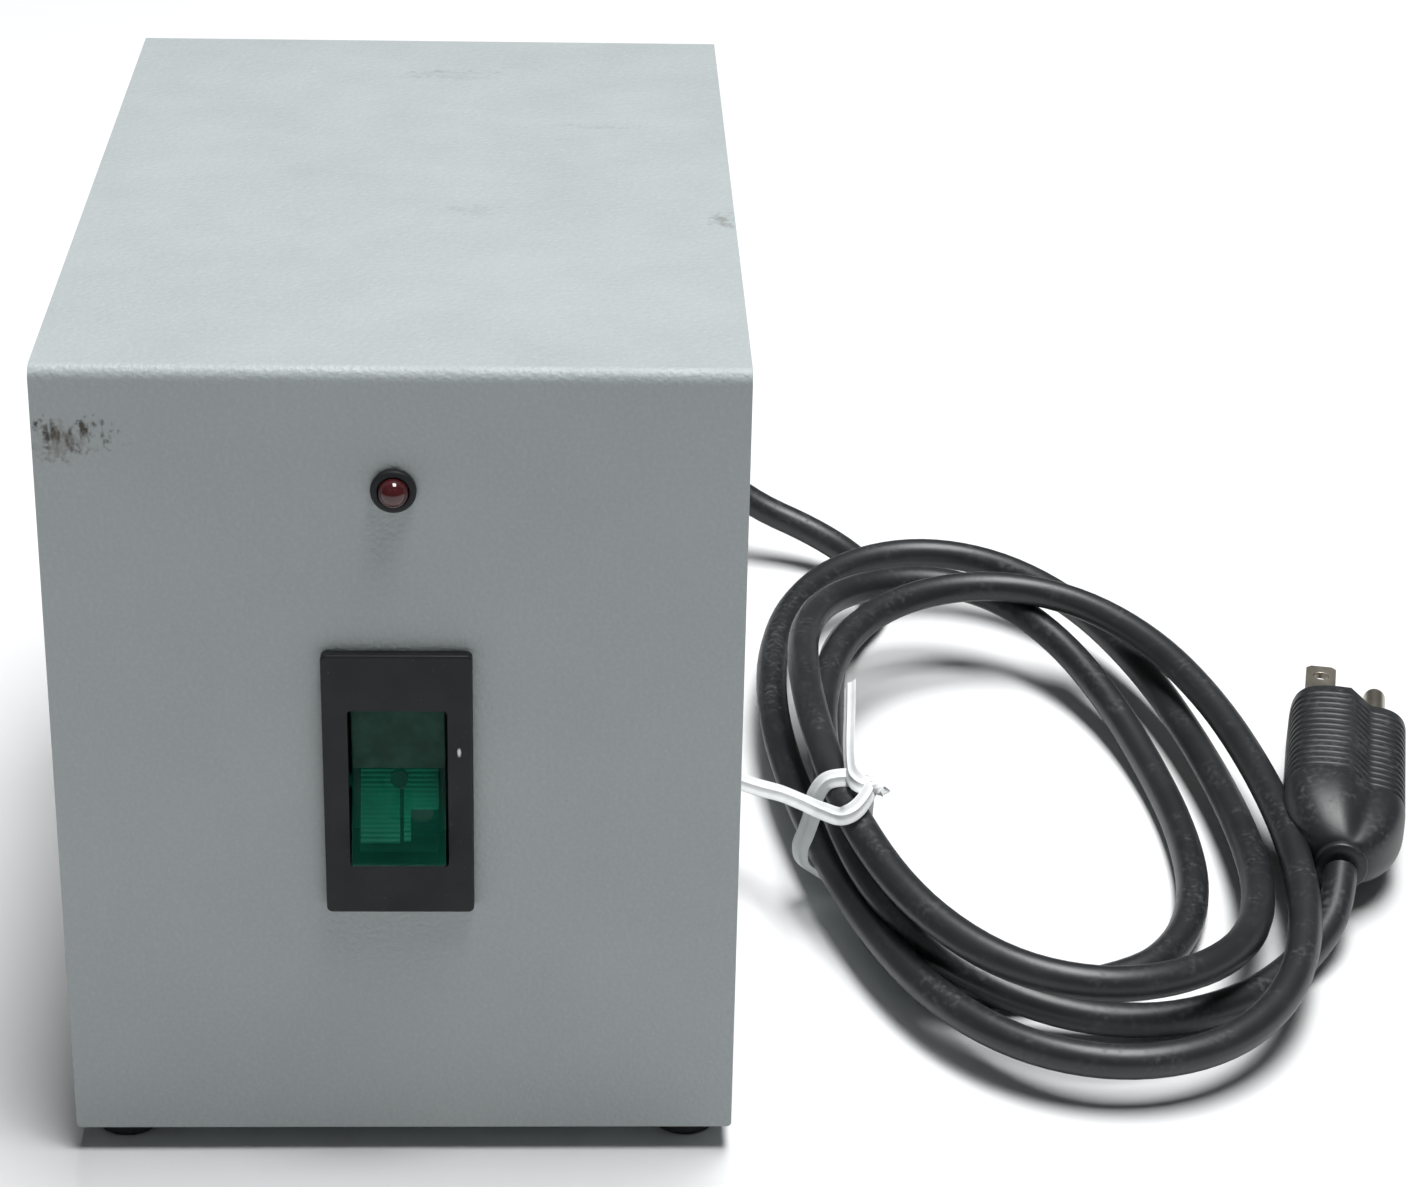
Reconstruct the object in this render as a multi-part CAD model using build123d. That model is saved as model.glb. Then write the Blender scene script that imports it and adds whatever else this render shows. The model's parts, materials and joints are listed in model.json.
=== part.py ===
from build123d import *
from math import atan2, cos, degrees, hypot, pi, radians, sin, sqrt, tan
import os

# Benchtop laboratory mixer: a closed sheet-metal case with a lit rocker switch and a
# pilot lamp on its front, a motor that turns two magnets under its flat top, and a
# mains lead that lies coiled beside it. Millimetres, +Z up, the front faces -Y.
# The origin is on the bench, under the middle of the case and its fittings.

# ---- driving dimensions -------------------------------------------------------------
CASE_W = 115.0          # across the front, X
CASE_D = 177.0          # front to back over the sheet, Y
CASE_H = 144.0          # height of the sheet-metal case, Z
SHEET = 1.5             # aluminium sheet
BEND_R = 2.4            # outer radius of the bends
FOOT_H = 5.0            # rubber feet lift the case
FOOT_D = 12.0
ROCKER_OUT = 3.3        # how far the rocker's low end stands out of its bezel
BEZEL_T = 2.0
SCREW_HEAD = 2.0        # pan heads on the back
CORD_D = 6.6            # mains lead

# ---- places that follow from them ---------------------------------------------------
OUT_FRONT = BEZEL_T + ROCKER_OUT
SHIFT = (OUT_FRONT - SCREW_HEAD) / 2
FRONT = -CASE_D / 2 + SHIFT
BACK = CASE_D / 2 + SHIFT
FLOOR = FOOT_H
TOP = FOOT_H + CASE_H
DECK = FLOOR + SHEET    # upper face of the base sheet
HALF = CASE_W / 2
MID_Y = SHIFT           # motor axis, under the middle of the top
GAP = 0.1               # between the two folded sheets

parts = {}


# ---- small helpers ------------------------------------------------------------------
def block(x0, x1, y0, y1, z0, z1):
    """Box from its corner coordinates."""
    middle = ((x0 + x1) / 2, (y0 + y1) / 2, (z0 + z1) / 2)
    return Pos(*middle) * Box(abs(x1 - x0), abs(y1 - y0), abs(z1 - z0))


def post(x, y, z0, z1, d):
    """Upright cylinder of diameter d."""
    return Pos(x, y, (z0 + z1) / 2) * Cylinder(d / 2, abs(z1 - z0))


def bar_y(x, z, y0, y1, d):
    """Cylinder of diameter d along Y."""
    return Pos(x, (y0 + y1) / 2, z) * Rot(90, 0, 0) * Cylinder(d / 2, abs(y1 - y0))


def bar_x(y, z, x0, x1, d):
    """Cylinder of diameter d along X."""
    return Pos((x0 + x1) / 2, y, z) * Rot(0, 90, 0) * Cylinder(d / 2, abs(x1 - x0))


def slab(x, y, w, d, r, z0, z1):
    """Upright prism with a rounded rectangular outline."""
    outline = RectangleRounded(w, d, r)
    return Pos(x, y, z0) * extrude(outline, z1 - z0)


def plate_y(x, z, w, h, r, y0, y1):
    """Prism along Y with a rounded rectangular outline."""
    outline = Plane(origin=(x, y1, z), x_dir=(1, 0, 0), z_dir=(0, -1, 0)) * RectangleRounded(w, h, r)
    return extrude(outline, y1 - y0)


def hex_nut(x, y, z0, across, height, bore):
    """Hexagon nut with its axis upright."""
    body = Pos(x, y, z0) * extrude(RegularPolygon(across / sqrt(3), 6), height)
    return body - post(x, y, z0 - 1, z0 + height + 1, bore)


def cord_radii(points):
    """The arc radius at each corner of a cord's route: 0.45 of the shorter run beside it."""
    radii = []
    for before, here, after in zip(points, points[1:], points[2:]):
        run_in = Vector(*here) - Vector(*before)
        run_out = Vector(*after) - Vector(*here)
        turn = radians(run_in.get_angle(run_out))
        radii.append(0.45 * min(run_in.length, run_out.length) / tan(turn / 2))
    return radii


def cord(points, d, name):
    """Round tube along straight runs joined by tangent arcs."""
    radii = cord_radii(points)
    path = FilletPolyline(*points, radius=radii)
    start = Plane(origin=path @ 0, z_dir=path % 0)
    tube = sweep(start * Circle(d / 2), path=path)
    want = pi * (d / 2) ** 2 * path.length
    print(f"{name}: {path.length:.0f} mm, radii {min(radii):.0f} to {max(radii):.0f},",
          f"volume {tube.volume / want:.3f} of section x length")
    return tube


# ---- case ---------------------------------------------------------------------------
SWITCH_Z = 74.6         # middle of the switch bezel
BEZEL_W, BEZEL_H = 25.0, 49.0
CUT_W, CUT_H = 21.8, 45.4
LAMP_Z = 128.2          # pilot lamp, centred over the switch
LAMP_HOLE = 6.4
GLAND_X, GLAND_Z = 22.0, 50.0
GLAND_HOLE = 12.6
REAR_SCREWS = [(sx * 52.0, z) for sx in (-1, 1) for z in (22.0, 132.0)]
FOOT_SIDE = 8.0         # foot centres, in from the sides
FOOT_END = 10.4         # and in from the front and the back
FEET = [(sx * (HALF - FOOT_SIDE), y) for sx in (-1, 1) for y in (FRONT + FOOT_END, BACK - FOOT_END)]
CLEATS = [-38.0, 38.0]
CLEAT_Y = FRONT + SHEET + 9.0
STUDS = [(sx * 48.0, MID_Y + sy * 24.0) for sx in (-1, 1) for sy in (-1, 1)]


def cover_wrap():
    """Front, top and back in one folded sheet."""
    side = Plane(origin=(-HALF, 0, 0), x_dir=(0, 1, 0), z_dir=(1, 0, 0))
    middle = (MID_Y, FLOOR + CASE_H / 2)
    outer = Pos(*middle) * Rectangle(CASE_D, CASE_H)
    outer = fillet(outer.vertices().group_by(Axis.Y)[-1], BEND_R)
    inner = Pos(MID_Y, middle[1] - SHEET) * Rectangle(CASE_D - 2 * SHEET, CASE_H)
    inner = fillet(inner.vertices().group_by(Axis.Y)[-1], BEND_R - SHEET)
    wrap = extrude(side * (outer - inner), CASE_W)
    wrap = fillet(wrap.edges().filter_by(Axis.Y).group_by(Axis.Z)[0], 0.8)
    wrap -= plate_y(0, SWITCH_Z, CUT_W, CUT_H, 1.0, FRONT - 1, FRONT + SHEET + 1)
    wrap -= bar_y(0, LAMP_Z, FRONT - 1, FRONT + SHEET + 1, LAMP_HOLE)
    wrap -= bar_y(GLAND_X, GLAND_Z, BACK - SHEET - 1, BACK + 1, GLAND_HOLE)
    for x, z in REAR_SCREWS:
        wrap -= bar_y(x, z, BACK - SHEET - 1, BACK + 1, 4.3)
    return wrap


def side_panel(side):
    """One side of the tray, with slots for air and flanges turned in at its two ends."""
    x_out, x_in = side * HALF, side * (HALF - SHEET)
    y0, y1 = FRONT + SHEET + GAP, BACK - SHEET - GAP
    top = TOP - SHEET - GAP
    panel = block(x_in, x_out, y0, y1, FLOOR, top)
    panel = fillet(panel.edges().filter_by(Axis.X).group_by(Axis.Z)[-1], BEND_R - SHEET)
    for y in (y0, y1 - SHEET):
        panel += block(side * (HALF - 10), x_out, y, y + SHEET, FLOOR + 8, top - 6)
    for row in range(2):
        for i in range(7):
            z = 24.0 + row * 84.0 + i * 5.5
            panel -= block(side * (HALF - 3), side * (HALF + 1), MID_Y - 22, MID_Y + 22, z - 1.2, z + 1.2)
    return panel


def chassis_tray():
    """Base and both sides in one folded sheet that slides up into the wrap."""
    y0, y1 = FRONT + SHEET + GAP, BACK - SHEET - GAP
    tray = block(-HALF, HALF, y0, y1, FLOOR, DECK)
    for side in (-1, 1):
        tray += side_panel(side)
    tray += block(-24, 24, y0, y0 + SHEET, FLOOR, FLOOR + 10)
    tray += block(-40, 40, y1 - SHEET, y1, FLOOR, FLOOR + 10)
    for x, z in REAR_SCREWS:
        tray -= bar_y(x, z, y1 - SHEET - 1, y1 + 1, 4.0)
    for x, y in FEET:
        tray -= post(x, y, FLOOR - 1, DECK + 1, 3.3)
    for x in CLEATS:
        tray -= post(x, CLEAT_Y, FLOOR - 1, DECK + 1, 4.2)
    for x, y in STUDS:
        tray -= post(x, y, FLOOR - 1, DECK + 1, 4.0)
    tray -= post(40, 62, FLOOR - 1, DECK + 1, 4.0)
    return tray


def rear_screws():
    """Four pan-head screws that hold the wrap to the tray."""
    screws = Part()
    for x, z in REAR_SCREWS:
        head = bar_y(x, z, BACK, BACK + SCREW_HEAD, 7.6)
        head = fillet(head.edges().sort_by(Axis.Y)[-1], 1.2)
        head -= block(x - 2.2, x + 2.2, BACK + 0.8, BACK + 3, z - 0.45, z + 0.45)
        head -= block(x - 0.45, x + 0.45, BACK + 0.8, BACK + 3, z - 2.2, z + 2.2)
        screws += head + bar_y(x, z, BACK - 8, BACK + 0.5, 3.9)
    return screws


def front_cleats():
    """Two angle pieces spot-welded inside the front, low down."""
    cleats = Part()
    y0 = FRONT + SHEET
    for x in CLEATS:
        upright = block(x - 8, x + 8, y0, y0 + SHEET, DECK + GAP, DECK + 18)
        foot = block(x - 8, x + 8, y0, y0 + 15, DECK + GAP, DECK + GAP + 2)
        cleats += (upright + foot) - post(x, CLEAT_Y, DECK - 1, DECK + 5, 3.9)
    return cleats


def cleat_screws():
    """Two screws up through the base into the cleats."""
    screws = Part()
    for x in CLEATS:
        head = post(x, CLEAT_Y, FLOOR - 2, FLOOR, 7.0)
        head = fillet(head.edges().sort_by(Axis.Z)[0], 1.0)
        head -= block(x - 2.2, x + 2.2, CLEAT_Y - 0.4, CLEAT_Y + 0.4, FLOOR - 3, FLOOR - 1)
        screws += head + post(x, CLEAT_Y, FLOOR - 0.5, DECK + 7, 3.8)
    return screws


def rubber_feet():
    """Four round feet, each with a recess for its screw head and a softened lower rim."""
    feet = Part()
    for x, y in FEET:
        foot = post(x, y, 0, FOOT_H, FOOT_D)
        foot = fillet(foot.edges().sort_by(Axis.Z)[0], 0.8)
        foot -= post(x, y, -1, 2.4, 6.6)
        feet += foot - post(x, y, -1, FOOT_H + 1, 3.2)
    return feet


def foot_screws():
    """Screws, head down in the feet."""
    screws = Part()
    for x, y in FEET:
        screws += post(x, y, 0.7, 2.4, 5.8) + post(x, y, 2.0, 11.0, 3.0)
    return screws


def foot_nuts():
    """Nuts inside the case on the foot screws."""
    nuts = Part()
    for x, y in FEET:
        nuts += hex_nut(x, y, DECK, 5.5, 2.4, 3.02)
    return nuts


# ---- switch -------------------------------------------------------------------------
WINDOW_W, WINDOW_H = 16.6, 29.6
PIVOT_Y = FRONT - BEZEL_T + 3.6
PIVOT_Z = 74.0
END_R = 14.6            # both ends of the rocker are arcs about its pivot
ROCKER_W = 15.8
PIN_D = 2.4
THROW = 22.0            # degrees from one side to the other
WELL = 10.5             # depth of the rocker's well behind its pivot


def at_pivot(up, out):
    """A point of the switch's side view, measured from the rocker's pivot."""
    return (PIVOT_Y - out, PIVOT_Z + up)


def side_view(points, width, x=0.0):
    """Prism along X from an outline in the switch's side view."""
    plane = Plane(origin=(x - width / 2, 0, 0), x_dir=(0, 1, 0), z_dir=(1, 0, 0))
    outline = make_face(Polyline(*[at_pivot(*p) for p in points], close=True))
    return extrude(plane * outline, width)


def switch_bezel():
    """Black frame on the front, with a skirt that snaps into the panel."""
    frame = plate_y(0, SWITCH_Z, BEZEL_W, BEZEL_H, 1.0, FRONT - BEZEL_T, FRONT)
    front_rim = frame.faces().sort_by(Axis.Y)[0].edges()
    frame = fillet(front_rim, 0.5)
    frame += plate_y(0, SWITCH_Z, CUT_W - 0.2, CUT_H - 0.2, 0.9, FRONT, FRONT + 8)
    frame -= plate_y(0, SWITCH_Z, CUT_W - 2.4, CUT_H - 2.4, 0.6, FRONT, FRONT + 9)
    return frame - plate_y(0, PIVOT_Z, WINDOW_W, WINDOW_H, 0.6, FRONT - BEZEL_T - 1, FRONT + 1)


def switch_body():
    """Housing behind the bezel: a well for the rocker and a chamber for the contacts."""
    body = block(-9.5, 9.5, FRONT, FRONT + 27, PIVOT_Z - 20.5, PIVOT_Z + 21.5)
    body -= block(-8.4, 8.4, FRONT - 1, PIVOT_Y + WELL, PIVOT_Z - 15.4, PIVOT_Z + 15.4)
    body -= block(-6, 6, PIVOT_Y + 8, PIVOT_Y + 19, PIVOT_Z - 13.5, PIVOT_Z + 13.5)
    body -= bar_x(PIVOT_Y, PIVOT_Z, -12, 12, PIN_D + 0.1)
    for up in (-10.0, 0.0, 10.0):
        z = PIVOT_Z + up
        body -= block(-3.15, 3.15, PIVOT_Y + 18, FRONT + 30, z - 0.4, z + 0.4)
    return body


def rocker_cap():
    """Clear green cap: two flat faces that meet in a shallow valley, hollow behind."""
    low_v, top_v, back_v = BEZEL_T + ROCKER_OUT + 1.6, 1.5, -4.0
    low = (-sqrt(END_R ** 2 - low_v ** 2), low_v)
    top = (sqrt(END_R ** 2 - top_v ** 2), top_v)
    valley = (2.6, 0.7)
    back = sqrt(END_R ** 2 - back_v ** 2)
    plane = Plane(origin=(-ROCKER_W / 2, 0, 0), x_dir=(0, 1, 0), z_dir=(1, 0, 0))
    edges = [Polyline(at_pivot(*top), at_pivot(*valley), at_pivot(*low)),
             ThreePointArc(at_pivot(*low), at_pivot(-END_R, 0), at_pivot(-back, back_v)),
             Line(at_pivot(-back, back_v), at_pivot(back, back_v)),
             ThreePointArc(at_pivot(back, back_v), at_pivot(END_R, 0), at_pivot(*top))]
    outline = make_face([edge for curve in edges for edge in curve.edges()])
    cap = extrude(plane * outline, ROCKER_W)
    hollow = [(12.9, 0.1), (2.7, -0.6), (-11.2, 5.0), (-13.1, 0.0), (-12.8, -5.0), (12.8, -5.0)]
    cap -= side_view(hollow, ROCKER_W - 2.6)
    for side in (-1, 1):
        cap += bar_x(PIVOT_Y, PIVOT_Z, side * (ROCKER_W / 2 - 1.3), side * 9.4, PIN_D)
    return cap


def rocker_plunger():
    """Post and sprung tip that work the contact arm, leaning by half the throw."""
    stem = bar_y(0, 0, 0.2, 9, 3.0) + bar_y(0, 0, 9, 12.3, 4.0)
    return Pos(0, PIVOT_Y, PIVOT_Z) * Rot(-THROW / 2, 0, 0) * stem


ARM_V = -13.4           # contact arm's pivot, behind the rocker's


def contact_arm():
    """Copper see-saw that bridges the terminals."""
    y = PIVOT_Y - ARM_V
    arm = block(-2.5, 2.5, y - 0.5, y + 0.3, PIVOT_Z - 9.5, PIVOT_Z + 9.5)
    for up in (-8.0, 8.0):
        arm += bar_y(0, PIVOT_Z + up, y + 0.2, y + 0.9, 3.0)
    return Pos(0, y, PIVOT_Z) * Rot(THROW / 4, 0, 0) * Pos(0, -y, -PIVOT_Z) * arm


def switch_terminals():
    """Three tabs through the back of the housing."""
    tabs = Part()
    for up in (-10.0, 0.0, 10.0):
        z = PIVOT_Z + up
        pad = 15.6 if up else 14.6
        tabs += block(-3.15, 3.15, PIVOT_Y + pad, FRONT + 35, z - 0.4, z + 0.4)
    return tabs


def switch_lamp():
    """Neon lamp on its post behind the lower half of the rocker."""
    lamp = bar_y(3.6, PIVOT_Z - 7.0, PIVOT_Y + 1.4, PIVOT_Y + 7.0, 4.0)
    lamp += block(0.8, 6.4, PIVOT_Y + 7.0, PIVOT_Y + WELL, PIVOT_Z - 9.2, PIVOT_Z - 4.2)
    return lamp


# ---- pilot lamp ---------------------------------------------------------------------
def lamp_holder():
    """Black ring and sleeve that hold the lamp in the panel."""
    holder = bar_y(0, LAMP_Z, FRONT - 1.4, FRONT, 7.5)
    holder = fillet(holder.edges().sort_by(Axis.Y)[0], 0.6)
    holder += bar_y(0, LAMP_Z, FRONT, FRONT + 8, LAMP_HOLE - 0.1)
    return holder - bar_y(0, LAMP_Z, FRONT - 3, FRONT + 9, 5.1)


def lamp_lens():
    """Red 5 mm lamp with a domed end and a rim behind."""
    lens = bar_y(0, LAMP_Z, FRONT - 1.3, FRONT + 8, 5.0)
    lens += Pos(0, FRONT - 1.3, LAMP_Z) * Sphere(2.5)
    return lens + bar_y(0, LAMP_Z, FRONT + 8, FRONT + 9, 5.8)


def lamp_clip():
    """Spring ring behind the panel."""
    ring = bar_y(0, LAMP_Z, FRONT + SHEET, FRONT + SHEET + 2.5, 9.6)
    return ring - bar_y(0, LAMP_Z, FRONT, FRONT + 9, LAMP_HOLE - 0.1)


def lamp_pins():
    """The lamp's two legs."""
    pins = Part()
    for x in (-1.27, 1.27):
        pins += block(x - 0.25, x + 0.25, FRONT + 9, FRONT + 18, LAMP_Z - 0.25, LAMP_Z + 0.25)
    return pins


# ---- motor and drive ----------------------------------------------------------------
CORE = 66.0             # square of the stator stack
CORE_R = 9.0
BOLT = 26.5             # bolt holes, out from the axis along X and Y
BRACKET_Z = 30.0
BELL_LOW = BRACKET_Z + 2.0
BELL_H = 19.0
STACK_H = 30.0
STACK_LOW = BELL_LOW + BELL_H
STACK_TOP = STACK_LOW + STACK_H
BELL_TOP = STACK_TOP + BELL_H
ROTOR_D = 35.4
SHAFT_D = 8.0
SHAFT_LOW, SHAFT_TOP = 15.0, 131.0
BUSH_H = 12.0
CARRIER_Z = 128.0
MAGNET_TOP = 144.5
BOLTS = [(sx * BOLT, MID_Y + sy * BOLT) for sx in (-1, 1) for sy in (-1, 1)]


def motor_bracket():
    """Steel bridge that carries the motor over its fan, on four rubber mounts."""
    bridge = block(-42, 42, MID_Y - 34, MID_Y + 34, BRACKET_Z, BELL_LOW)
    for side in (-1, 1):
        bridge += block(side * 40, side * 42, MID_Y - 34, MID_Y + 34, 12.5, BRACKET_Z)
        bridge += block(side * 40, side * 54, MID_Y - 34, MID_Y + 34, 12.5, 14.5)
    bridge -= post(0, MID_Y, BRACKET_Z - 1, BELL_LOW + 1, 26)
    for x, y in BOLTS:
        bridge -= post(x, y, BRACKET_Z - 1, BELL_LOW + 1, 4.4)
    for x, y in STUDS:
        bridge -= post(x, y, 12, 15, 4.4)
    return bridge


def rubber_mounts():
    """Four soft mounts between bracket and base."""
    mounts = Part()
    for x, y in STUDS:
        mounts += post(x, y, DECK, 12.5, 11.0) - post(x, y, DECK - 1, 13, 4.1)
    return mounts


def bracket_studs():
    """Studs pressed into the base."""
    studs = Part()
    for x, y in STUDS:
        studs += post(x, y, FLOOR, 20.0, 3.98)
    return studs


def bracket_nuts():
    """Nuts that clamp the bracket down."""
    nuts = Part()
    for x, y in STUDS:
        nuts += hex_nut(x, y, 14.5, 7.0, 3.2, 4.0)
    return nuts


def end_bell(z_plate, z_open):
    """Square cast end cover with a boss for its bush; the plate is at z_plate."""
    up = 1 if z_open > z_plate else -1
    low, high = sorted((z_plate, z_open))
    bell = slab(0, MID_Y, CORE, CORE, CORE_R, low, high)
    inside = sorted((z_plate + up * 3.5, z_open + up))
    bell -= post(0, MID_Y, *inside, 56)
    boss = sorted((z_plate, z_plate + up * BUSH_H))
    bell += post(0, MID_Y, *boss, 22)
    bell -= post(0, MID_Y, low - 2, high + 2, 14.0)
    for i in range(6):
        angle = radians(60 * i)
        bell -= post(19 * cos(angle), MID_Y + 19 * sin(angle), z_plate - 5, z_plate + 5, 8)
    for x, y in BOLTS:
        bell -= post(x, y, low - 1, high + 1, 4.2)
    return bell


def bush(z_plate, up):
    """Bronze sleeve bearing."""
    z0, z1 = sorted((z_plate, z_plate + up * BUSH_H))
    return post(0, MID_Y, z0, z1, 14.0) - post(0, MID_Y, z0 - 1, z1 + 1, SHAFT_D + 0.08)


def stator_core():
    """Stack of laminations with twelve slots round the rotor."""
    core = slab(0, MID_Y, CORE, CORE, CORE_R, STACK_LOW, STACK_TOP)
    core -= post(0, MID_Y, STACK_LOW - 1, STACK_TOP + 1, ROTOR_D + 0.8)
    slot = Pos(21.5, 0, STACK_LOW - 1) * extrude(Rectangle(9, 4), STACK_H + 2)
    for i in range(12):
        core -= Pos(0, MID_Y, 0) * Rot(0, 0, 30 * i) * slot
    for x, y in BOLTS:
        core -= post(x, y, STACK_LOW - 1, STACK_TOP + 1, 4.2)
    return core


def stator_windings():
    """The two rings of copper end turns."""
    rings = Part()
    for z0, z1 in ((STACK_LOW - 9, STACK_LOW), (STACK_TOP, STACK_TOP + 9)):
        ring = post(0, MID_Y, z0, z1, 53) - post(0, MID_Y, z0 - 1, z1 + 1, 38)
        rings += fillet(ring.edges().filter_by(GeomType.CIRCLE), 2.5)
    return rings


def motor_bolts():
    """Four long bolts through covers, stack and bracket."""
    bolts = Part()
    for x, y in BOLTS:
        head = Pos(x, y, BELL_TOP) * extrude(RegularPolygon(4.04, 6), 2.8)
        bolts += head + post(x, y, BRACKET_Z - 5, BELL_TOP + 1, 4.0)
    return bolts


def motor_nuts():
    """Nuts under the bracket."""
    nuts = Part()
    for x, y in BOLTS:
        nuts += hex_nut(x, y, BRACKET_Z - 3.2, 7.0, 3.2, 4.02)
    return nuts


def rotor_core():
    """Rotor stack."""
    core = post(0, MID_Y, STACK_LOW, STACK_TOP, ROTOR_D)
    return core - post(0, MID_Y, STACK_LOW - 1, STACK_TOP + 1, SHAFT_D)


def rotor_rings():
    """Cast rings at the rotor's ends."""
    rings = Part()
    for z0, z1 in ((STACK_LOW - 4, STACK_LOW), (STACK_TOP, STACK_TOP + 4)):
        rings += post(0, MID_Y, z0, z1, 34) - post(0, MID_Y, z0 - 1, z1 + 1, 21)
    return rings


def motor_shaft():
    """Ground shaft, chamfered at both ends, with a flat for the carrier's screw."""
    shaft = post(0, MID_Y, SHAFT_LOW, SHAFT_TOP, SHAFT_D)
    shaft = chamfer(shaft.edges().filter_by(GeomType.CIRCLE), 0.6)
    return shaft - block(3.4, 5, MID_Y - 4, MID_Y + 4, CARRIER_Z - 12, SHAFT_TOP + 1)


def cooling_fan():
    """Seven flat blades on a hub at the foot of the shaft."""
    fan = post(0, MID_Y, 16.5, 27.0, 16)
    blade = Pos(17.5, 0, 21.5) * Rot(35, 0, 0) * Box(21, 10, 1.6)
    for i in range(7):
        fan += Pos(0, MID_Y, 0) * Rot(0, 0, 360 / 7 * i) * blade
    return fan - post(0, MID_Y, 10, 30, SHAFT_D)


def magnet_carrier():
    """Aluminium disc that carries the two magnets close under the top."""
    disc = post(0, MID_Y, CARRIER_Z + 2, MAGNET_TOP - 3, 60)
    disc = chamfer(disc.edges().filter_by(GeomType.CIRCLE), 1.0)
    disc += post(0, MID_Y, CARRIER_Z - 12, CARRIER_Z + 3, 18)
    for side in (-1, 1):
        disc -= post(side * 18, MID_Y, MAGNET_TOP - 9, MAGNET_TOP, 18)
    disc -= post(0, MID_Y, CARRIER_Z - 13, SHAFT_TOP, SHAFT_D)
    return disc - bar_x(MID_Y, CARRIER_Z - 6, 3.4, 12, 3.0)


def drive_magnets():
    """Two magnet discs in the carrier's pockets."""
    magnets = Part()
    for side in (-1, 1):
        disc = post(side * 18, MID_Y, MAGNET_TOP - 9, MAGNET_TOP, 18)
        magnets += chamfer(disc.edges().sort_by(Axis.Z)[-1], 0.5)
    return magnets


def carrier_screw():
    """Grub screw that locks the carrier to the shaft's flat."""
    screw = bar_x(MID_Y, CARRIER_Z - 6, 3.45, 8.6, 3.0)
    return screw - bar_x(MID_Y, CARRIER_Z - 6, 7.2, 9, 1.5)


# ---- electrical fittings ------------------------------------------------------------
CAP_X, CAP_Y = -30.0, 62.0
BLOCK_X, BLOCK_Y = 8.0, 62.0


def run_capacitor():
    """Upright can that feeds the motor's second winding."""
    can = post(CAP_X, CAP_Y, DECK + 0.2, 58, 28)
    can = fillet(can.edges().filter_by(GeomType.CIRCLE), 1.5)
    return can + post(CAP_X - 5, CAP_Y, 57, 64, 3) + post(CAP_X + 5, CAP_Y, 57, 64, 3)


def capacitor_clip():
    """Sheet band round the can with a foot on the base."""
    band = post(CAP_X, CAP_Y, 14, 26, 30.4) - post(CAP_X, CAP_Y, 13, 27, 28.2)
    foot = block(CAP_X - 5, CAP_X + 5, CAP_Y - 24, CAP_Y - 14.3, DECK, DECK + 1.2)
    riser = block(CAP_X - 5, CAP_X + 5, CAP_Y - 15.5, CAP_Y - 14.3, DECK, 20)
    return band + foot + riser


def terminal_block():
    """Three-way block on the base."""
    body = block(BLOCK_X - 16, BLOCK_X + 16, BLOCK_Y - 9, BLOCK_Y + 9, DECK, 14)
    body += block(BLOCK_X - 16, BLOCK_X + 16, BLOCK_Y - 6, BLOCK_Y + 6, DECK, 19)
    for i in (-1, 0, 1):
        x = BLOCK_X + 10 * i
        body -= bar_y(x, 11.5, BLOCK_Y - 10, BLOCK_Y + 10, 4.4)
        body -= post(x, BLOCK_Y, 12, 20, 4.6)
    return body


def terminal_screws():
    """Clamp screws of the block."""
    screws = Part()
    for i in (-1, 0, 1):
        x = BLOCK_X + 10 * i
        screw = post(x, BLOCK_Y, 13.8, 18, 4.4)
        screws += screw - block(x - 3, x + 3, BLOCK_Y - 0.4, BLOCK_Y + 0.4, 17, 19)
    return screws


def earth_stud():
    """Stud for the earth lead, pressed into the base."""
    return post(40, 62, FLOOR, 17, 3.98)


def earth_nut():
    """Nut over the earth tag."""
    return hex_nut(40, 62, DECK + 1.2, 7.0, 3.2, 4.0)


def earth_tag():
    """Ring tag crimped to the earth core."""
    ring = post(40, 62, DECK, DECK + 1.2, 8.6) - post(40, 62, DECK - 1, DECK + 2, 4.2)
    return ring + block(38.4, 41.6, 65.5, 72, DECK, DECK + 1.2)


WIRES = {
    "neutral_core": [(19.8, 82, 51.4), (14, 81, 40), (9, 79.5, 27), (8, 78, 14), (8, 67, 11.5)],
    "line_core": [(22, 82, 47.6), (20.5, 80.5, 37), (18.6, 79.5, 26), (18, 78, 14), (18, 67, 11.5)],
    "earth_core": [(24.2, 82, 51.4), (31, 81, 40), (37, 79, 25), (40, 77, 11), (40, 71, 8.8)],
    "switch_wires": [(18, 56, 11.5), (19.5, 47, 12.5), (34, 44, 20), (50, 34, 23), (51, -10, 23),
                     (48, -44, 26), (26, -52, 44), (6, -50, 62), (0, -50.5, 64)],
    "motor_wires": [(8, 56, 11.5), (7.6, 48, 12.5), (3, 43, 25), (0.5, 40, 38), (0, 35.4, 42)],
    "lamp_wires": [(-1.27, FRONT + 18, LAMP_Z), (-3, -62, 127), (-30, -54, 118), (-51, -30, 104),
                   (-51, 6, 90), (-46, 33, 60), (-25, 42, 32), (-8, 46, 15), (-2, 50, 12), (-2, 58, 11.5)],
}

# ---- mains lead ---------------------------------------------------------------------
RELIEF_L = 24.0         # tapered sleeve behind the case
PLUG_TURN = -12.1       # the plug points back and a little outwards
PLUG_X, PLUG_Y, PLUG_Z = 192.9, 47.4, 12.0

# The lead as it leaves its sleeve, droops to the bench behind the case and comes back
# towards the bundle. The points are the corners of its route.
LEAD = [(22, 112.2, 50), (22, 127, 50), (28, 144.5, 46), (41.5, 157, 37.5), (57, 162.7, 27),
        (70, 160.2, 14.5), (88.5, 154, 8.4), (99.5, 140, 5.6), (100.2, 122.5, 3.6)]

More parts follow.
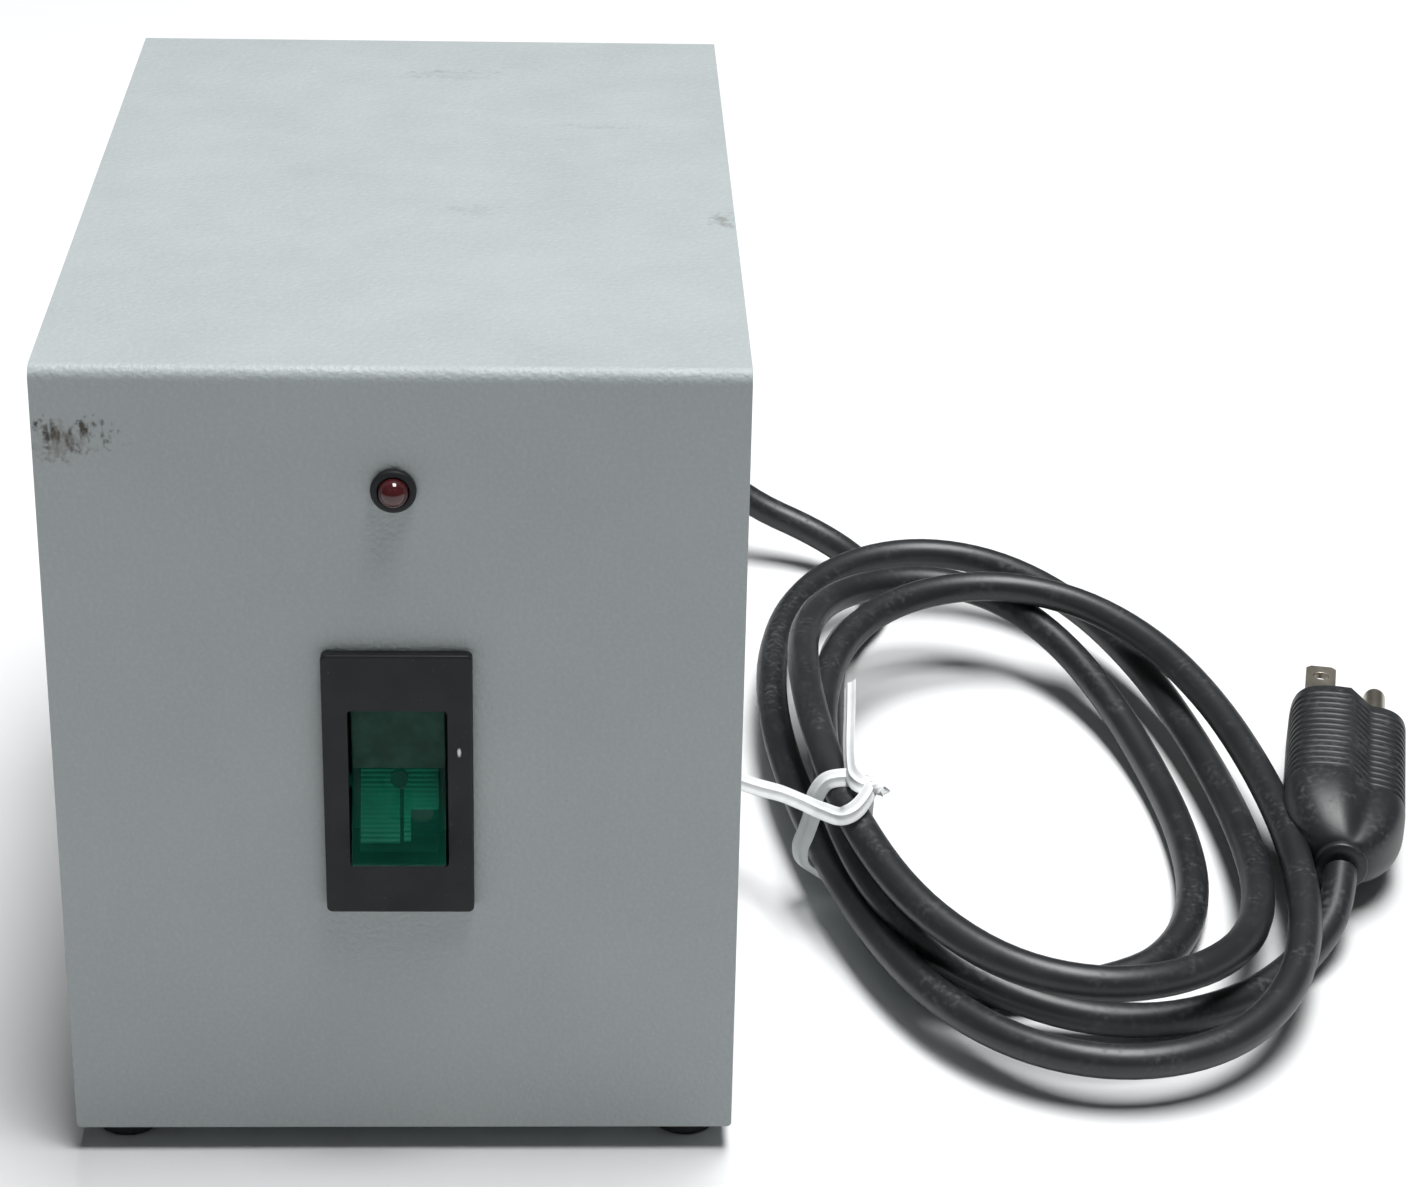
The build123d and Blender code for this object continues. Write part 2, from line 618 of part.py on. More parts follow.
# The coil: each turn is an oval, given by the middle it goes round, its half width, its
# half depth and its lean in degrees. The turns share the tie and fan out opposite it.
TIE_ANGLE = 200.0
BLEND = 0.14            # share of a turn, each side of the tie, over which ovals change
FULLNESS = 0.185        # how much rounder the ends of a turn are than an ellipse's
OVALS = [(116.1, 33.2, 37.5, 74.5, 6.4),
         (118.5, 34.9, 45.6, 98.1, 6.2),
         (126.5, 12.8, 46.0, 87.4, 3.8),
         (127.0, 19.0, 49.4, 72.0, 8.2)]
# Height of the cord's middle at the left, front, right and rear of each turn in order.
HEIGHTS = [3.5, 4.2, 3.4, 19.4, 27.2,
           18.6, 6.9, 14.7, 11.0,
           9.4, 12.9, 21.8, 20.6,
           4.0, 4.7]
COIL_FIRST, COIL_LAST = 0.24, 3.3
# The lead under the bundle, from where the tube meets the coil to its first full turn.
UNDER = [(90, 106, 5.2), (85.6, 82, 8.4), (84, 56, 10.4), (82.6, 31, 10.8),
         (83.9, 10.5, 9.6), (85, -8, 6.2), (90, -29, 3.8), (110, -43, 3.5)]
# The last of the lead, from the coil to the collar of the plug.
TAIL = [(176.2, -22.6, 7.2), (179.2, -15.6, 9.6), (180.8, -9.0, 11.6)]


def ease(t):
    """Smooth step from 0 to 1."""
    t = min(max(t, 0.0), 1.0)
    return t * t * t * (t * (6 * t - 15) + 10)


def coil_point(turn):
    """A point of the coil's centre line; turn counts turns from the tie."""
    angle = radians(TIE_ANGLE + 360 * turn)
    here = [0.0] * 5
    for k, oval in enumerate(OVALS):
        rise = ease((turn - k) / (2 * BLEND) + 0.5) if k else 1.0
        fall = ease((turn - k - 1) / (2 * BLEND) + 0.5) if k < len(OVALS) - 1 else 0.0
        here = [h + rise * (1 - fall) * v for h, v in zip(here, oval)]
    mid_x, mid_y, half_w, half_d, lean = here
    full = 1 + FULLNESS * sin(angle) ** 2
    u, v, lean = half_w * cos(angle) * full, half_d * sin(angle), radians(lean)
    quarter = (degrees(angle) - 180) / 90
    i = min(int(quarter), len(HEIGHTS) - 2)
    s = min(quarter - i, 1.0)
    s = s * s * (3 - 2 * s)
    height = HEIGHTS[i] * (1 - s) + HEIGHTS[i + 1] * s
    return (mid_x + u * cos(lean) - v * sin(lean), mid_y + u * sin(lean) + v * cos(lean), height)


def coil_line():
    """Close points along the whole wound part of the lead."""
    steps = 300
    span = COIL_LAST - COIL_FIRST
    turns = [coil_point(COIL_FIRST + span * i / steps) for i in range(steps + 1)]
    runs = [LEAD[-1]] + UNDER + [turns[0]]
    under = [tuple(a + (b - a) * j / 8 for a, b in zip(p, q))
             for p, q in zip(runs, runs[1:]) for j in range(8)]
    return under + turns


COIL_MID = (119.0, 17.0)
STATIONS = 32


def coil_section(line, angle):
    """Corners of the bundle's outline in the upright plane at this angle about the middle."""
    near = []
    for x, y, z in line:
        off = (atan2(y - COIL_MID[1], x - COIL_MID[0]) - angle + pi) % (2 * pi) - pi
        if abs(off) < 1.1 * pi / STATIONS:
            near.append((hypot(x - COIL_MID[0], y - COIL_MID[1]), z))
    r = CORD_D / 2
    r0, r1 = min(p[0] for p in near) - r, max(p[0] for p in near) + r
    z0, z1 = max(min(p[1] for p in near) - r, 0.0), max(p[1] for p in near) + r
    c = 0.6 * r
    flat = [(r0 + c, z0), (r1 - c, z0), (r1, z0 + c), (r1, z1 - c),
            (r1 - c, z1), (r0 + c, z1), (r0, z1 - c), (r0, z0 + c)]
    return [Vector(COIL_MID[0] + a * cos(angle), COIL_MID[1] + a * sin(angle), z) for a, z in flat]


def lead_coil():
    """One closed ring with the coil's outer shape, faceted between upright sections."""
    line = coil_line()
    rings = [coil_section(line, 2 * pi * i / STATIONS) for i in range(STATIONS)]
    faces = []
    for ring, after in zip(rings, rings[1:] + rings[:1]):
        for i in range(8):
            j = (i + 1) % 8
            a, b, c, d = ring[i], ring[j], after[j], after[i]
            faces.append(Face(Wire.make_polygon([a, b, c])))
            faces.append(Face(Wire.make_polygon([a, c, d])))
    return Solid(Shell(faces))


def strain_relief():
    """Tapered rubber sleeve with a flange outside the case and a collar inside."""
    profile = [(0, BACK - 5), (6.2, BACK - 5), (7.4, BACK - 3.4), (7.4, BACK - SHEET),
               (GLAND_HOLE / 2, BACK - SHEET), (GLAND_HOLE / 2, BACK), (8.6, BACK),
               (8.6, BACK + 2.4), (6.0, BACK + 3.4), (4.4, BACK + RELIEF_L), (0, BACK + RELIEF_L)]
    half = make_face(Polyline(*profile, close=True))
    sleeve = Pos(GLAND_X, 0, GLAND_Z) * revolve(half, Axis.Y)
    for i in range(5):
        y = BACK + 6.4 + 3.4 * i
        ring = bar_y(GLAND_X, GLAND_Z, y, y + 1.4, 20)
        sleeve -= ring - bar_y(GLAND_X, GLAND_Z, y - 1, y + 3, 9.4 - 0.5 * i)
    return sleeve - bar_y(GLAND_X, GLAND_Z, BACK - 6, BACK + RELIEF_L + 1, CORD_D)


def lead_inside():
    """The lead's straight stretch through the sleeve."""
    return bar_y(GLAND_X, GLAND_Z, BACK - 6, LEAD[0][1], CORD_D)


def in_plug_frame(shape):
    """Moves a shape from the plug's own frame, face at the origin and pins along +Y."""
    return Pos(PLUG_X, PLUG_Y, PLUG_Z) * Rot(0, 0, PLUG_TURN) * shape


BLADE_X, PIN_X = -6.2, 5.7
BLADE_GAP = 12.7
BODY_L, SHOULDER_L = 40.0, 15.0


def plug_section(y, scale, height):
    """Outline of the plug across its axis: thick round the blades, thinner round the pin."""
    plane = Plane(origin=(0, y, 0), x_dir=(1, 0, 0), z_dir=(0, -1, 0))
    return plane * RectangleRounded(24.7 * scale, height, min(24.7 * scale, height) * 0.32)


def plug_body():
    """Moulded plug: ribbed grip, smooth shoulder and a collar round the lead."""
    thick = plate_y(-3.6, 0, 17.4, 23.6, 5.0, -BODY_L, 0)
    thin = plate_y(2.0, 0, 20.6, 16.0, 6.5, -BODY_L, 0)
    body = thick + thin
    for i in range(14):
        y = -4.6 - 2.4 * i
        cutter = block(-20, 20, y - 1.1, y, -20, 20)
        inner = plate_y(-3.6, 0, 16.2, 22.4, 4.6, y - 2, y + 1)
        inner += plate_y(2.0, 0, 19.4, 14.8, 6.0, y - 2, y + 1)
        body -= cutter - inner
    neck = -BODY_L - SHOULDER_L
    shoulder = loft([plug_section(-BODY_L, 0.94, 21.0), plug_section(-BODY_L - 8, 0.82, 17.5),
                     plug_section(neck, 0.44, 10.0)])
    body += shoulder
    collar = bar_y(0, 0, neck - 1.8, neck, 10.4)
    body += collar
    return in_plug_frame(body)


def plug_blade(z):
    """Flat blade with its round hole."""
    blade = block(BLADE_X - 3.18, BLADE_X + 3.18, -4, 17.0, z - 0.75, z + 0.75)
    blade = chamfer(blade.edges().filter_by(Axis.Z).group_by(Axis.Y)[-1], 1.0)
    return blade - post(BLADE_X, 12.4, z - 2, z + 2, 3.2)


def plug_pin():
    """Round earth pin with a domed end."""
    pin = bar_y(PIN_X, 0, -4, 17.6, 4.76)
    return pin + Pos(PIN_X, 17.6, 0) * Sphere(2.38)


TIE_Y = -3.0            # where the strip goes round the bundle
STRIP_W, STRIP_T = 3.8, 0.9


def twist_tie():
    """Flat plastic strip with a wire core: a loop round the bundle, a twist and two tails."""
    low, high = TIE_Y - STRIP_W / 2, TIE_Y + STRIP_W / 2
    loop = plate_y(81.8, 17.0, 15.2, 27.0, 6.5, low, high)
    loop -= plate_y(81.8, 17.0, 13.4, 25.2, 5.6, low - 1, high + 1)
    twist = Pos(85.5, -6, 30.6) * Rot(0, 0, -40) * block(-3, 5, -2, 2, -1.6, 1.6)
    tail = Pos(74, -4.4, 26.4) * Rot(0, 0, 160) * block(-12, 13.6, -STRIP_W / 2, STRIP_W / 2, 0, STRIP_T)
    end = Pos(84, -4.2, 31.4) * Rot(14, 0, 0) * block(-STRIP_W / 2, STRIP_W / 2, 0, 26, 0, STRIP_T)
    return loop + twist + tail + end


# ---- all the pieces -----------------------------------------------------------------
parts["cover_wrap"] = cover_wrap()
parts["chassis_tray"] = chassis_tray()
parts["rear_screws"] = rear_screws()
parts["front_cleats"] = front_cleats()
parts["cleat_screws"] = cleat_screws()
parts["rubber_feet"] = rubber_feet()
parts["foot_screws"] = foot_screws()
parts["foot_nuts"] = foot_nuts()
parts["switch_bezel"] = switch_bezel()
parts["switch_body"] = switch_body()
parts["rocker_cap"] = rocker_cap()
parts["rocker_plunger"] = rocker_plunger()
parts["contact_arm"] = contact_arm()
parts["switch_terminals"] = switch_terminals()
parts["switch_lamp"] = switch_lamp()
parts["lamp_holder"] = lamp_holder()
parts["lamp_lens"] = lamp_lens()
parts["lamp_clip"] = lamp_clip()
parts["lamp_pins"] = lamp_pins()
parts["motor_bracket"] = motor_bracket()
parts["rubber_mounts"] = rubber_mounts()
parts["bracket_studs"] = bracket_studs()
parts["bracket_nuts"] = bracket_nuts()
parts["lower_end_bell"] = end_bell(BELL_LOW, STACK_LOW)
parts["upper_end_bell"] = end_bell(BELL_TOP, STACK_TOP)
parts["lower_bush"] = bush(BELL_LOW, 1)
parts["upper_bush"] = bush(BELL_TOP, -1)
parts["stator_core"] = stator_core()
parts["stator_windings"] = stator_windings()
parts["motor_bolts"] = motor_bolts()
parts["motor_nuts"] = motor_nuts()
parts["rotor_core"] = rotor_core()
parts["rotor_rings"] = rotor_rings()
parts["motor_shaft"] = motor_shaft()
parts["cooling_fan"] = cooling_fan()
parts["magnet_carrier"] = magnet_carrier()
parts["drive_magnets"] = drive_magnets()
parts["carrier_screw"] = carrier_screw()
parts["run_capacitor"] = run_capacitor()
parts["capacitor_clip"] = capacitor_clip()
parts["terminal_block"] = terminal_block()
parts["terminal_screws"] = terminal_screws()
parts["earth_stud"] = earth_stud()
parts["earth_nut"] = earth_nut()
parts["earth_tag"] = earth_tag()
for name, route in WIRES.items():
    parts[name] = cord(route, 2.2, name)
parts["strain_relief"] = strain_relief()
parts["lead_tube"] = cord(LEAD, CORD_D, "lead_tube") + lead_inside()
parts["lead_coil"] = lead_coil()
parts["lead_tail"] = cord([coil_point(COIL_LAST)] + TAIL, CORD_D, "lead_tail")
blades = Part() + plug_blade(BLADE_GAP / 2) + plug_blade(-BLADE_GAP / 2)
parts["plug_body"] = plug_body() - in_plug_frame(blades) - in_plug_frame(plug_pin())
parts["plug_blades"] = in_plug_frame(blades)
parts["plug_earth_pin"] = in_plug_frame(plug_pin())
parts["twist_tie"] = twist_tie()

os.makedirs("parts", exist_ok=True)
for name, shape in parts.items():
    export_step(shape, f"parts/{name}.step")
print(len(parts), "nodes")
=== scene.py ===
# %% [markdown]
# A small laboratory mixer in a painted sheet-metal case, with its mains lead coiled and tied
# beside it. The CAD model is the fixed frame: it holds every part at its real size. This lesson
# adds what a camera sees: soft edges, finishes, a supple lead, a moulded plug and a twist tie.
# Lengths are in metres, X is to the right, Y goes away from the front panel and Z is up.

import json
from math import cos, degrees, pi, radians, sin

import bpy
import numpy as np
from mathutils import Matrix, Vector


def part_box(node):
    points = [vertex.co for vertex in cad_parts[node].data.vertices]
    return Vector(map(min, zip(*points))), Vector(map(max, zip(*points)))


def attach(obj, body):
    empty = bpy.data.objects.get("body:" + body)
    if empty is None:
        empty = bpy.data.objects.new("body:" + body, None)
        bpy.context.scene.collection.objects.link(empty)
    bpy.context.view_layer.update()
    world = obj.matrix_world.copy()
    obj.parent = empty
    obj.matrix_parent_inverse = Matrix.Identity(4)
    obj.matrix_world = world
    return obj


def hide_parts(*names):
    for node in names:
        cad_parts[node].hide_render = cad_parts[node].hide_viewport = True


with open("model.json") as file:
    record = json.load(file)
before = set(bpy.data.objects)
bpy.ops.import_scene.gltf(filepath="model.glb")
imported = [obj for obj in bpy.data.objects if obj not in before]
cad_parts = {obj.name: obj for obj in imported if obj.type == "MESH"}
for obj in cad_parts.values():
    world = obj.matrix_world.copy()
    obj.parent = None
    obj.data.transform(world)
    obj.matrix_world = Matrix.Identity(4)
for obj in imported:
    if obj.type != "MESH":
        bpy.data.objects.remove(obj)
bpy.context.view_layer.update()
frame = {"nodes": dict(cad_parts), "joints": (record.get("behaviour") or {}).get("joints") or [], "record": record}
MM = 0.001

# %% [markdown]
# The camera stands in front of the case, a little to its right, and looks down at it by about
# 26 degrees through a long lens. A long lens keeps the case's sides nearly parallel. The view is
# given by where the camera stands and three turns: to the side, down, and a slight roll.

# %% Camera
CAMERA_AT = (27.65 * MM, -610.13 * MM, 364.4 * MM)
TURN, TILT, ROLL = 0.04512, 0.45238, -0.02443
LENS_MM, SENSOR_MM = 90.19, 36.0

ahead = np.array([sin(TURN) * cos(TILT), cos(TURN) * cos(TILT), -sin(TILT)])
level = np.array([cos(TURN), -sin(TURN), 0.0])
below = np.cross(ahead, level)
across = cos(ROLL) * level + sin(ROLL) * below
upward = sin(ROLL) * level - cos(ROLL) * below
camera = bpy.data.objects.new("camera", bpy.data.cameras.new("camera"))
camera.matrix_world = Matrix([[*row, at] for row, at in zip(np.c_[across, upward, -ahead], CAMERA_AT)]
                             + [[0, 0, 0, 1]])
camera.data.lens, camera.data.sensor_width = LENS_MM, SENSOR_MM
camera.data.clip_start = 0.05
bpy.context.scene.collection.objects.link(camera)
bpy.context.scene.camera = camera
print("camera looks along", np.round(ahead, 3))

# %% [markdown]
# The mains lead is one length of stiff round cord. It leaves a sleeve at the back of the case,
# droops to the bench, comes forward and is wound in three loose turns and part of a fourth. The
# turns are tied together on the case's side and fan out on the other. It could be several
# curves, but one NURBS curve bends as smoothly as the real cord does, without a joint. The
# points of the free stretches were fitted to the way the lead lies, with a limit on how tight
# a bend may be, and then rounded and evened out.

# %% The lead's free stretches
CORD_D = 6.6 * MM
LEAD = [(22, 112.2, 50), (22, 127, 50), (28, 144.5, 46), (41.5, 157, 37.5), (57, 162.7, 27),
        (70, 160.2, 14.5), (88.5, 154, 8.4), (99.5, 140, 5.6), (100.2, 122.5, 3.6)]
UNDER = [(90, 106, 5.2), (85.6, 82, 8.4), (84, 56, 10.4), (82.6, 31, 10.8),
         (83.9, 10.5, 9.6), (85, -8, 6.2), (90, -29, 3.8), (110, -43, 3.5)]
TAIL = [(176.2, -22.6, 7.2), (179.2, -15.6, 9.6), (180.8, -9.0, 11.6)]

# %% [markdown]
# Each turn of the coil is an oval with its own middle, half width, half depth and lean, fitted
# and rounded in the same way. Its ends are filled out a little past an ellipse's, because a cord
# this stiff bends no tighter than about four times its own thickness. Its height rises and falls
# where the turns cross. Near the tie, where the turns lie together, one oval changes smoothly
# into the next.

# %% The lead's coil
TIE_ANGLE = 200.0
BLEND, FULLNESS = 0.14, 0.185
OVALS = [(116.1, 33.2, 37.5, 74.5, 6.4),
         (118.5, 34.9, 45.6, 98.1, 6.2),
         (126.5, 12.8, 46.0, 87.4, 3.8),
         (127.0, 19.0, 49.4, 72.0, 8.2)]
HEIGHTS = [3.5, 4.2, 3.4, 19.4, 27.2,
           18.6, 6.9, 14.7, 11.0,
           9.4, 12.9, 21.8, 20.6,
           4.0, 4.7]
COIL_FIRST, COIL_LAST = 0.24, 3.3
POINTS_PER_TURN = 18


def ease(t):
    """Smooth step: 6 t^5 - 15 t^4 + 10 t^3, from 0 to 1."""
    t = min(max(t, 0.0), 1.0)
    return t * t * t * (t * (6 * t - 15) + 10)


def coil_point(turn):
    """Oval's middle plus half sizes times cosine and sine of the angle, its ends filled out."""
    angle = radians(TIE_ANGLE + 360 * turn)
    here = np.zeros(5)
    for k, oval in enumerate(OVALS):
        rise = ease((turn - k) / (2 * BLEND) + 0.5) if k else 1.0
        fall = ease((turn - k - 1) / (2 * BLEND) + 0.5) if k < len(OVALS) - 1 else 0.0
        here += rise * (1 - fall) * np.array(oval)
    mid_x, mid_y, half_w, half_d, lean = here
    full = 1 + FULLNESS * sin(angle) ** 2
    u, v, lean = half_w * cos(angle) * full, half_d * sin(angle), radians(lean)
    quarter = (degrees(angle) - 180) / 90
    i = min(int(quarter), len(HEIGHTS) - 2)
    s = min(quarter - i, 1.0)
    s = s * s * (3 - 2 * s)
    height = HEIGHTS[i] * (1 - s) + HEIGHTS[i + 1] * s
    return (mid_x + u * cos(lean) - v * sin(lean), mid_y + u * sin(lean) + v * cos(lean), height)


steps = round((COIL_LAST - COIL_FIRST) * POINTS_PER_TURN)
TURNS = [coil_point(COIL_FIRST + (COIL_LAST - COIL_FIRST) * i / steps) for i in range(steps + 1)]
PLUG_AT, PLUG_TURN, NECK_Y = (192.9, 47.4, 12.0), radians(-12.1), -55.0
ROUTE = np.array([*LEAD, *UNDER, *TURNS, *TAIL]) * MM
print("route of", len(ROUTE), "points")

# %% Make the lead's curve
def cord_curve(name, points, diameter):
    """One open NURBS curve, a round section of that diameter carried along it.

    A point's radius multiplies the bevel depth and also counts in the curve's box, so the real
    radius is set on the points and the depth is 1, which keeps the box as large as the cord."""
    curve = bpy.data.curves.new(name, "CURVE")
    curve.dimensions = "3D"
    spline = curve.splines.new("NURBS")
    spline.points.add(len(points) - 1)
    spline.points.foreach_set("co", np.c_[points, np.ones(len(points))].ravel())
    spline.points.foreach_set("radius", np.full(len(points), diameter / 2))
    spline.order_u = 3
    spline.use_endpoint_u = True
    spline.resolution_u = 6
    curve.bevel_depth = 1.0
    curve.bevel_resolution = 6
    curve.use_fill_caps = True
    obj = bpy.data.objects.new(name, curve)
    bpy.context.scene.collection.objects.link(obj)
    return obj


lead = cord_curve("mains_lead", ROUTE, CORD_D)
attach(lead, "case")
bare = lead.data.copy()
bare.bevel_depth = 0
probe = bpy.data.objects.new("probe", bare)
line_mesh = bpy.data.meshes.new_from_object(probe)
bpy.data.objects.remove(probe)

# %% [markdown]
# Every finish is a small tree of nodes on the Principled shader. A few helpers keep the trees
# short: they make a finish, add a node with its inputs filled in, and give noise on
# the piece's own coordinates, so that a pattern keeps its real size and stays where it is when
# the piece moves. Scales are in grains per metre.

# %% Helpers for finishes
def new_finish(name, **sockets):
    """A Principled finish; each keyword is one of its sockets, with _ for a space."""
    made = bpy.data.materials.new(name)
    made.use_nodes = True
    for socket, value in sockets.items():
        made.node_tree.nodes["Principled BSDF"].inputs[socket.replace("_", " ")].default_value = value
    return made


def put(made, kind, inputs=None, **settings):
    """Adds a node; an input is a plain value or another node's output."""
    node = made.node_tree.nodes.new("ShaderNode" + kind)
    for name, value in settings.items():
        setattr(node, name, value)
    for socket, value in (inputs or {}).items():
        if isinstance(value, bpy.types.NodeSocket):
            made.node_tree.links.new(value, node.inputs[socket])
        else:
            node.inputs[socket].default_value = value
    return node


def feed(made, socket, value):
    """Joins an output to a socket of the finish's Principled shader."""
    made.node_tree.links.new(value, made.node_tree.nodes["Principled BSDF"].inputs[socket])


def noise(made, scale, detail=3.0, stretch=(1, 1, 1)):
    """Noise on Object coordinates; stretch multiplies the coordinates along each axis."""
    place = put(made, "TexCoord").outputs["Object"]
    mapped = put(made, "Mapping", {"Vector": place, "Scale": stretch}).outputs["Vector"]
    return put(made, "TexNoise", {"Vector": mapped, "Scale": scale, "Detail": detail}).outputs["Fac"]


def ramp(made, value, low, high, start=0.0, end=1.0):
    """Value between low and high becomes start to end, held at both."""
    return put(made, "MapRange", {"Value": value, "From Min": low, "From Max": high,
                                  "To Min": start, "To Max": end}).outputs["Result"]


def times(made, a, b):
    """The product of two values or outputs."""
    return put(made, "Math", {0: a, 1: b}, operation="MULTIPLY").outputs[0]


def blend_colours(made, share, first, second):
    """First colour where share is 0, second where it is 1; each is a colour or an output."""
    node = made.node_tree.nodes.new("ShaderNodeMix")
    node.data_type = "RGBA"
    for index, value in ((0, share), (6, first), (7, second)):
        if isinstance(value, bpy.types.NodeSocket):
            made.node_tree.links.new(value, node.inputs[index])
        else:
            node.inputs[index].default_value = value if index == 0 else (*value, 1.0)
    return node.outputs[2]


def emboss(made, height, depth, strength=1.0, under=None):
    """Turns a height into a bump of that depth in metres, on top of another bump."""
    node = put(made, "Bump", {"Height": height, "Distance": depth, "Strength": strength})
    if under:
        made.node_tree.links.new(under, node.inputs["Normal"])
    return node.outputs["Normal"]


def spot(made, centre, size, rough=0.0):
    """1 at the centre of an ellipsoid of those half sizes, 0 outside it, with a ragged edge."""
    place = put(made, "TexCoord").outputs["Object"]
    away = put(made, "VectorMath", {0: place, 1: centre}, operation="SUBTRACT").outputs[0]
    scaled = put(made, "VectorMath", {0: away, 1: [1 / s for s in size]}, operation="MULTIPLY").outputs[0]
    far = put(made, "VectorMath", {0: scaled}, operation="LENGTH").outputs["Value"]
    ragged = put(made, "Math", {0: ramp(made, noise(made, 900), 0.3, 0.7, -rough, rough), 1: far},
                 operation="ADD").outputs[0]
    return ramp(made, ragged, 1.0, 0.4)


print("finish helpers ready")

# %% [markdown]
# The case's finish is a textured powder coat: light grey with a trace of blue, with a fine grain
# like leather. An image could hold the grain, but two noises of different size give it without
# a seam on any face. The colour wanders a little, and a few rubbed marks lie where a case like
# this gets knocked: a dark one at the front's top left corner and faint ones on the top.

# %% Case paint
TOP_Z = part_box("cover_wrap")[1].z
FRONT_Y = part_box("cover_wrap")[0].y


def case_paint():
    """Powder coat: patches, a pale grain, a dark scuff with its smear, and rubbed marks."""
    made = new_finish("case_paint", Roughness=0.5, Specular_IOR_Level=0.45)
    patchy = blend_colours(made, ramp(made, noise(made, 22, 4), 0.35, 0.65),
                           (0.348, 0.384, 0.391), (0.365, 0.401, 0.406))
    grain = ramp(made, noise(made, 1300, 2), 0.45, 0.75, 0.0, 0.35)
    grainy = blend_colours(made, grain, patchy, (0.43, 0.465, 0.47))
    dark = times(made, spot(made, (-0.0515, FRONT_Y, 0.1372), (0.0078, 0.004, 0.0033), 0.5),
                 ramp(made, noise(made, 700, 4, (1.0, 1.0, 0.35)), 0.47, 0.60))
    marked = blend_colours(made, dark, grainy, (0.030, 0.024, 0.018))
    smear = times(made, spot(made, (-0.0535, FRONT_Y, 0.1362), (0.0058, 0.004, 0.0040), 0.5),
                  ramp(made, noise(made, 250, 4), 0.35, 0.65, 0.0, 0.6))
    marked = blend_colours(made, smear, marked, (0.16, 0.14, 0.115))
    for centre, size, share in (((0.005, 0.066, TOP_Z), (0.011, 0.004, 0.003), 0.30),
                                ((0.011, -0.012, TOP_Z), (0.006, 0.003, 0.003), 0.25),
                                ((0.0555, -0.017, TOP_Z), (0.003, 0.006, 0.003), 0.55),
                                ((0.030, 0.035, TOP_Z), (0.014, 0.002, 0.003), 0.16)):
        broken = ramp(made, noise(made, 420), 0.4, 0.7, 0.0, share)
        rubbed = times(made, spot(made, centre, size, 0.5), broken)
        marked = blend_colours(made, rubbed, marked, (0.12, 0.115, 0.105))
    feed(made, "Base Color", marked)
    feed(made, "Roughness", ramp(made, noise(made, 60), 0.3, 0.7, 0.44, 0.58))
    soft = emboss(made, noise(made, 330, 2), 0.00012, 0.5)
    feed(made, "Normal", emboss(made, noise(made, 1150, 2.5), 0.00022, 0.8, soft))
    return made


FINISHES = {"case_paint": case_paint()}
print("case paint made")

# %% [markdown]
# Most other finishes are one recipe with different numbers: two close colours mixed by a broad
# noise, a roughness that wanders, and a fine bump. Brushed or drawn metal stretches the fine
# noise along one axis. A table of the numbers keeps them side by side.

# %% Plain finishes
def plain_finish(name, colour, shade, rough, metal=0.0, grain=900.0, depth=0.00003, stretch=(1, 1, 1),
                 patch=90.0):
    """Colour varies by the share shade, and roughness by 15%; grain is per metre."""
    made = new_finish(name, Metallic=metal)
    darker = [c * (1 - shade) for c in colour]
    patches = ramp(made, noise(made, patch, 4), 0.35, 0.68)
    feed(made, "Base Color", blend_colours(made, patches, colour, darker))
    broad = noise(made, grain / 4, 3, stretch)
    feed(made, "Roughness", ramp(made, broad, 0.3, 0.7, rough * 0.85, rough * 1.15))
    feed(made, "Normal", emboss(made, noise(made, grain, 3, stretch), depth, 0.7))
    return made


PLAIN = {
    "zinc_steel": ((0.62, 0.63, 0.66), 0.25, 0.34, 1.0, 1400, 0.00002),
    "ground_steel": ((0.52, 0.53, 0.54), 0.2, 0.25, 1.0, 2600, 0.00002, (1, 1, 0.05)),
    "tinned_metal": ((0.56, 0.52, 0.44), 0.30, 0.38, 1.0, 900, 0.00003, (1, 0.3, 1)),
    "black_rubber": ((0.020, 0.020, 0.021), 0.35, 0.72, 0.0, 1600, 0.00006),
    "copper": ((0.80, 0.36, 0.20), 0.35, 0.30, 1.0, 1800, 0.00002),
    "bronze": ((0.50, 0.33, 0.14), 0.3, 0.42, 1.0, 1500, 0.00003),
    "cast_aluminium": ((0.58, 0.59, 0.60), 0.18, 0.52, 1.0, 1000, 0.00010),
    "turned_aluminium": ((0.72, 0.73, 0.74), 0.10, 0.24, 1.0, 3000, 0.00002, (0.1, 0.1, 1)),
    "lamination_steel": ((0.22, 0.22, 0.24), 0.3, 0.45, 1.0, 2000, 0.00008, (0.02, 0.02, 1)),
    "magnet_ferrite": ((0.045, 0.045, 0.048), 0.3, 0.55, 0.0, 1300, 0.00005),
    "white_plastic": ((0.74, 0.75, 0.73), 0.06, 0.38, 0.0, 900, 0.00003),
    "wire_jacket": ((0.020, 0.020, 0.022), 0.2, 0.40, 0.0, 1200, 0.00003),
    "wire_jacket_pale": ((0.72, 0.73, 0.72), 0.08, 0.40, 0.0, 1200, 0.00003),
    "wire_jacket_green": ((0.03, 0.27, 0.07), 0.2, 0.40, 0.0, 1200, 0.00003),
    "lamp_body": ((0.10, 0.09, 0.085), 0.3, 0.14, 0.0, 700, 0.00001),
}
for slot_name, numbers in PLAIN.items():
    FINISHES[slot_name] = plain_finish(slot_name, *numbers)
print(len(PLAIN), "plain finishes made")

# %% [markdown]
# The bezel and the pilot lamp's ring are moulded in black plastic with a fine spark-eroded skin.
# A few grey specks of dust and one tiny white chip keep it from looking new.

# %% Black plastic
BEZEL_LOW, BEZEL_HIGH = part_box("switch_bezel")
CHIP_AT = (BEZEL_HIGH.x - 2.3 * MM, BEZEL_LOW.y, BEZEL_HIGH.z - 18.0 * MM)
CHIP_SIZE = (0.38 * MM, 2.0 * MM, 0.9 * MM)


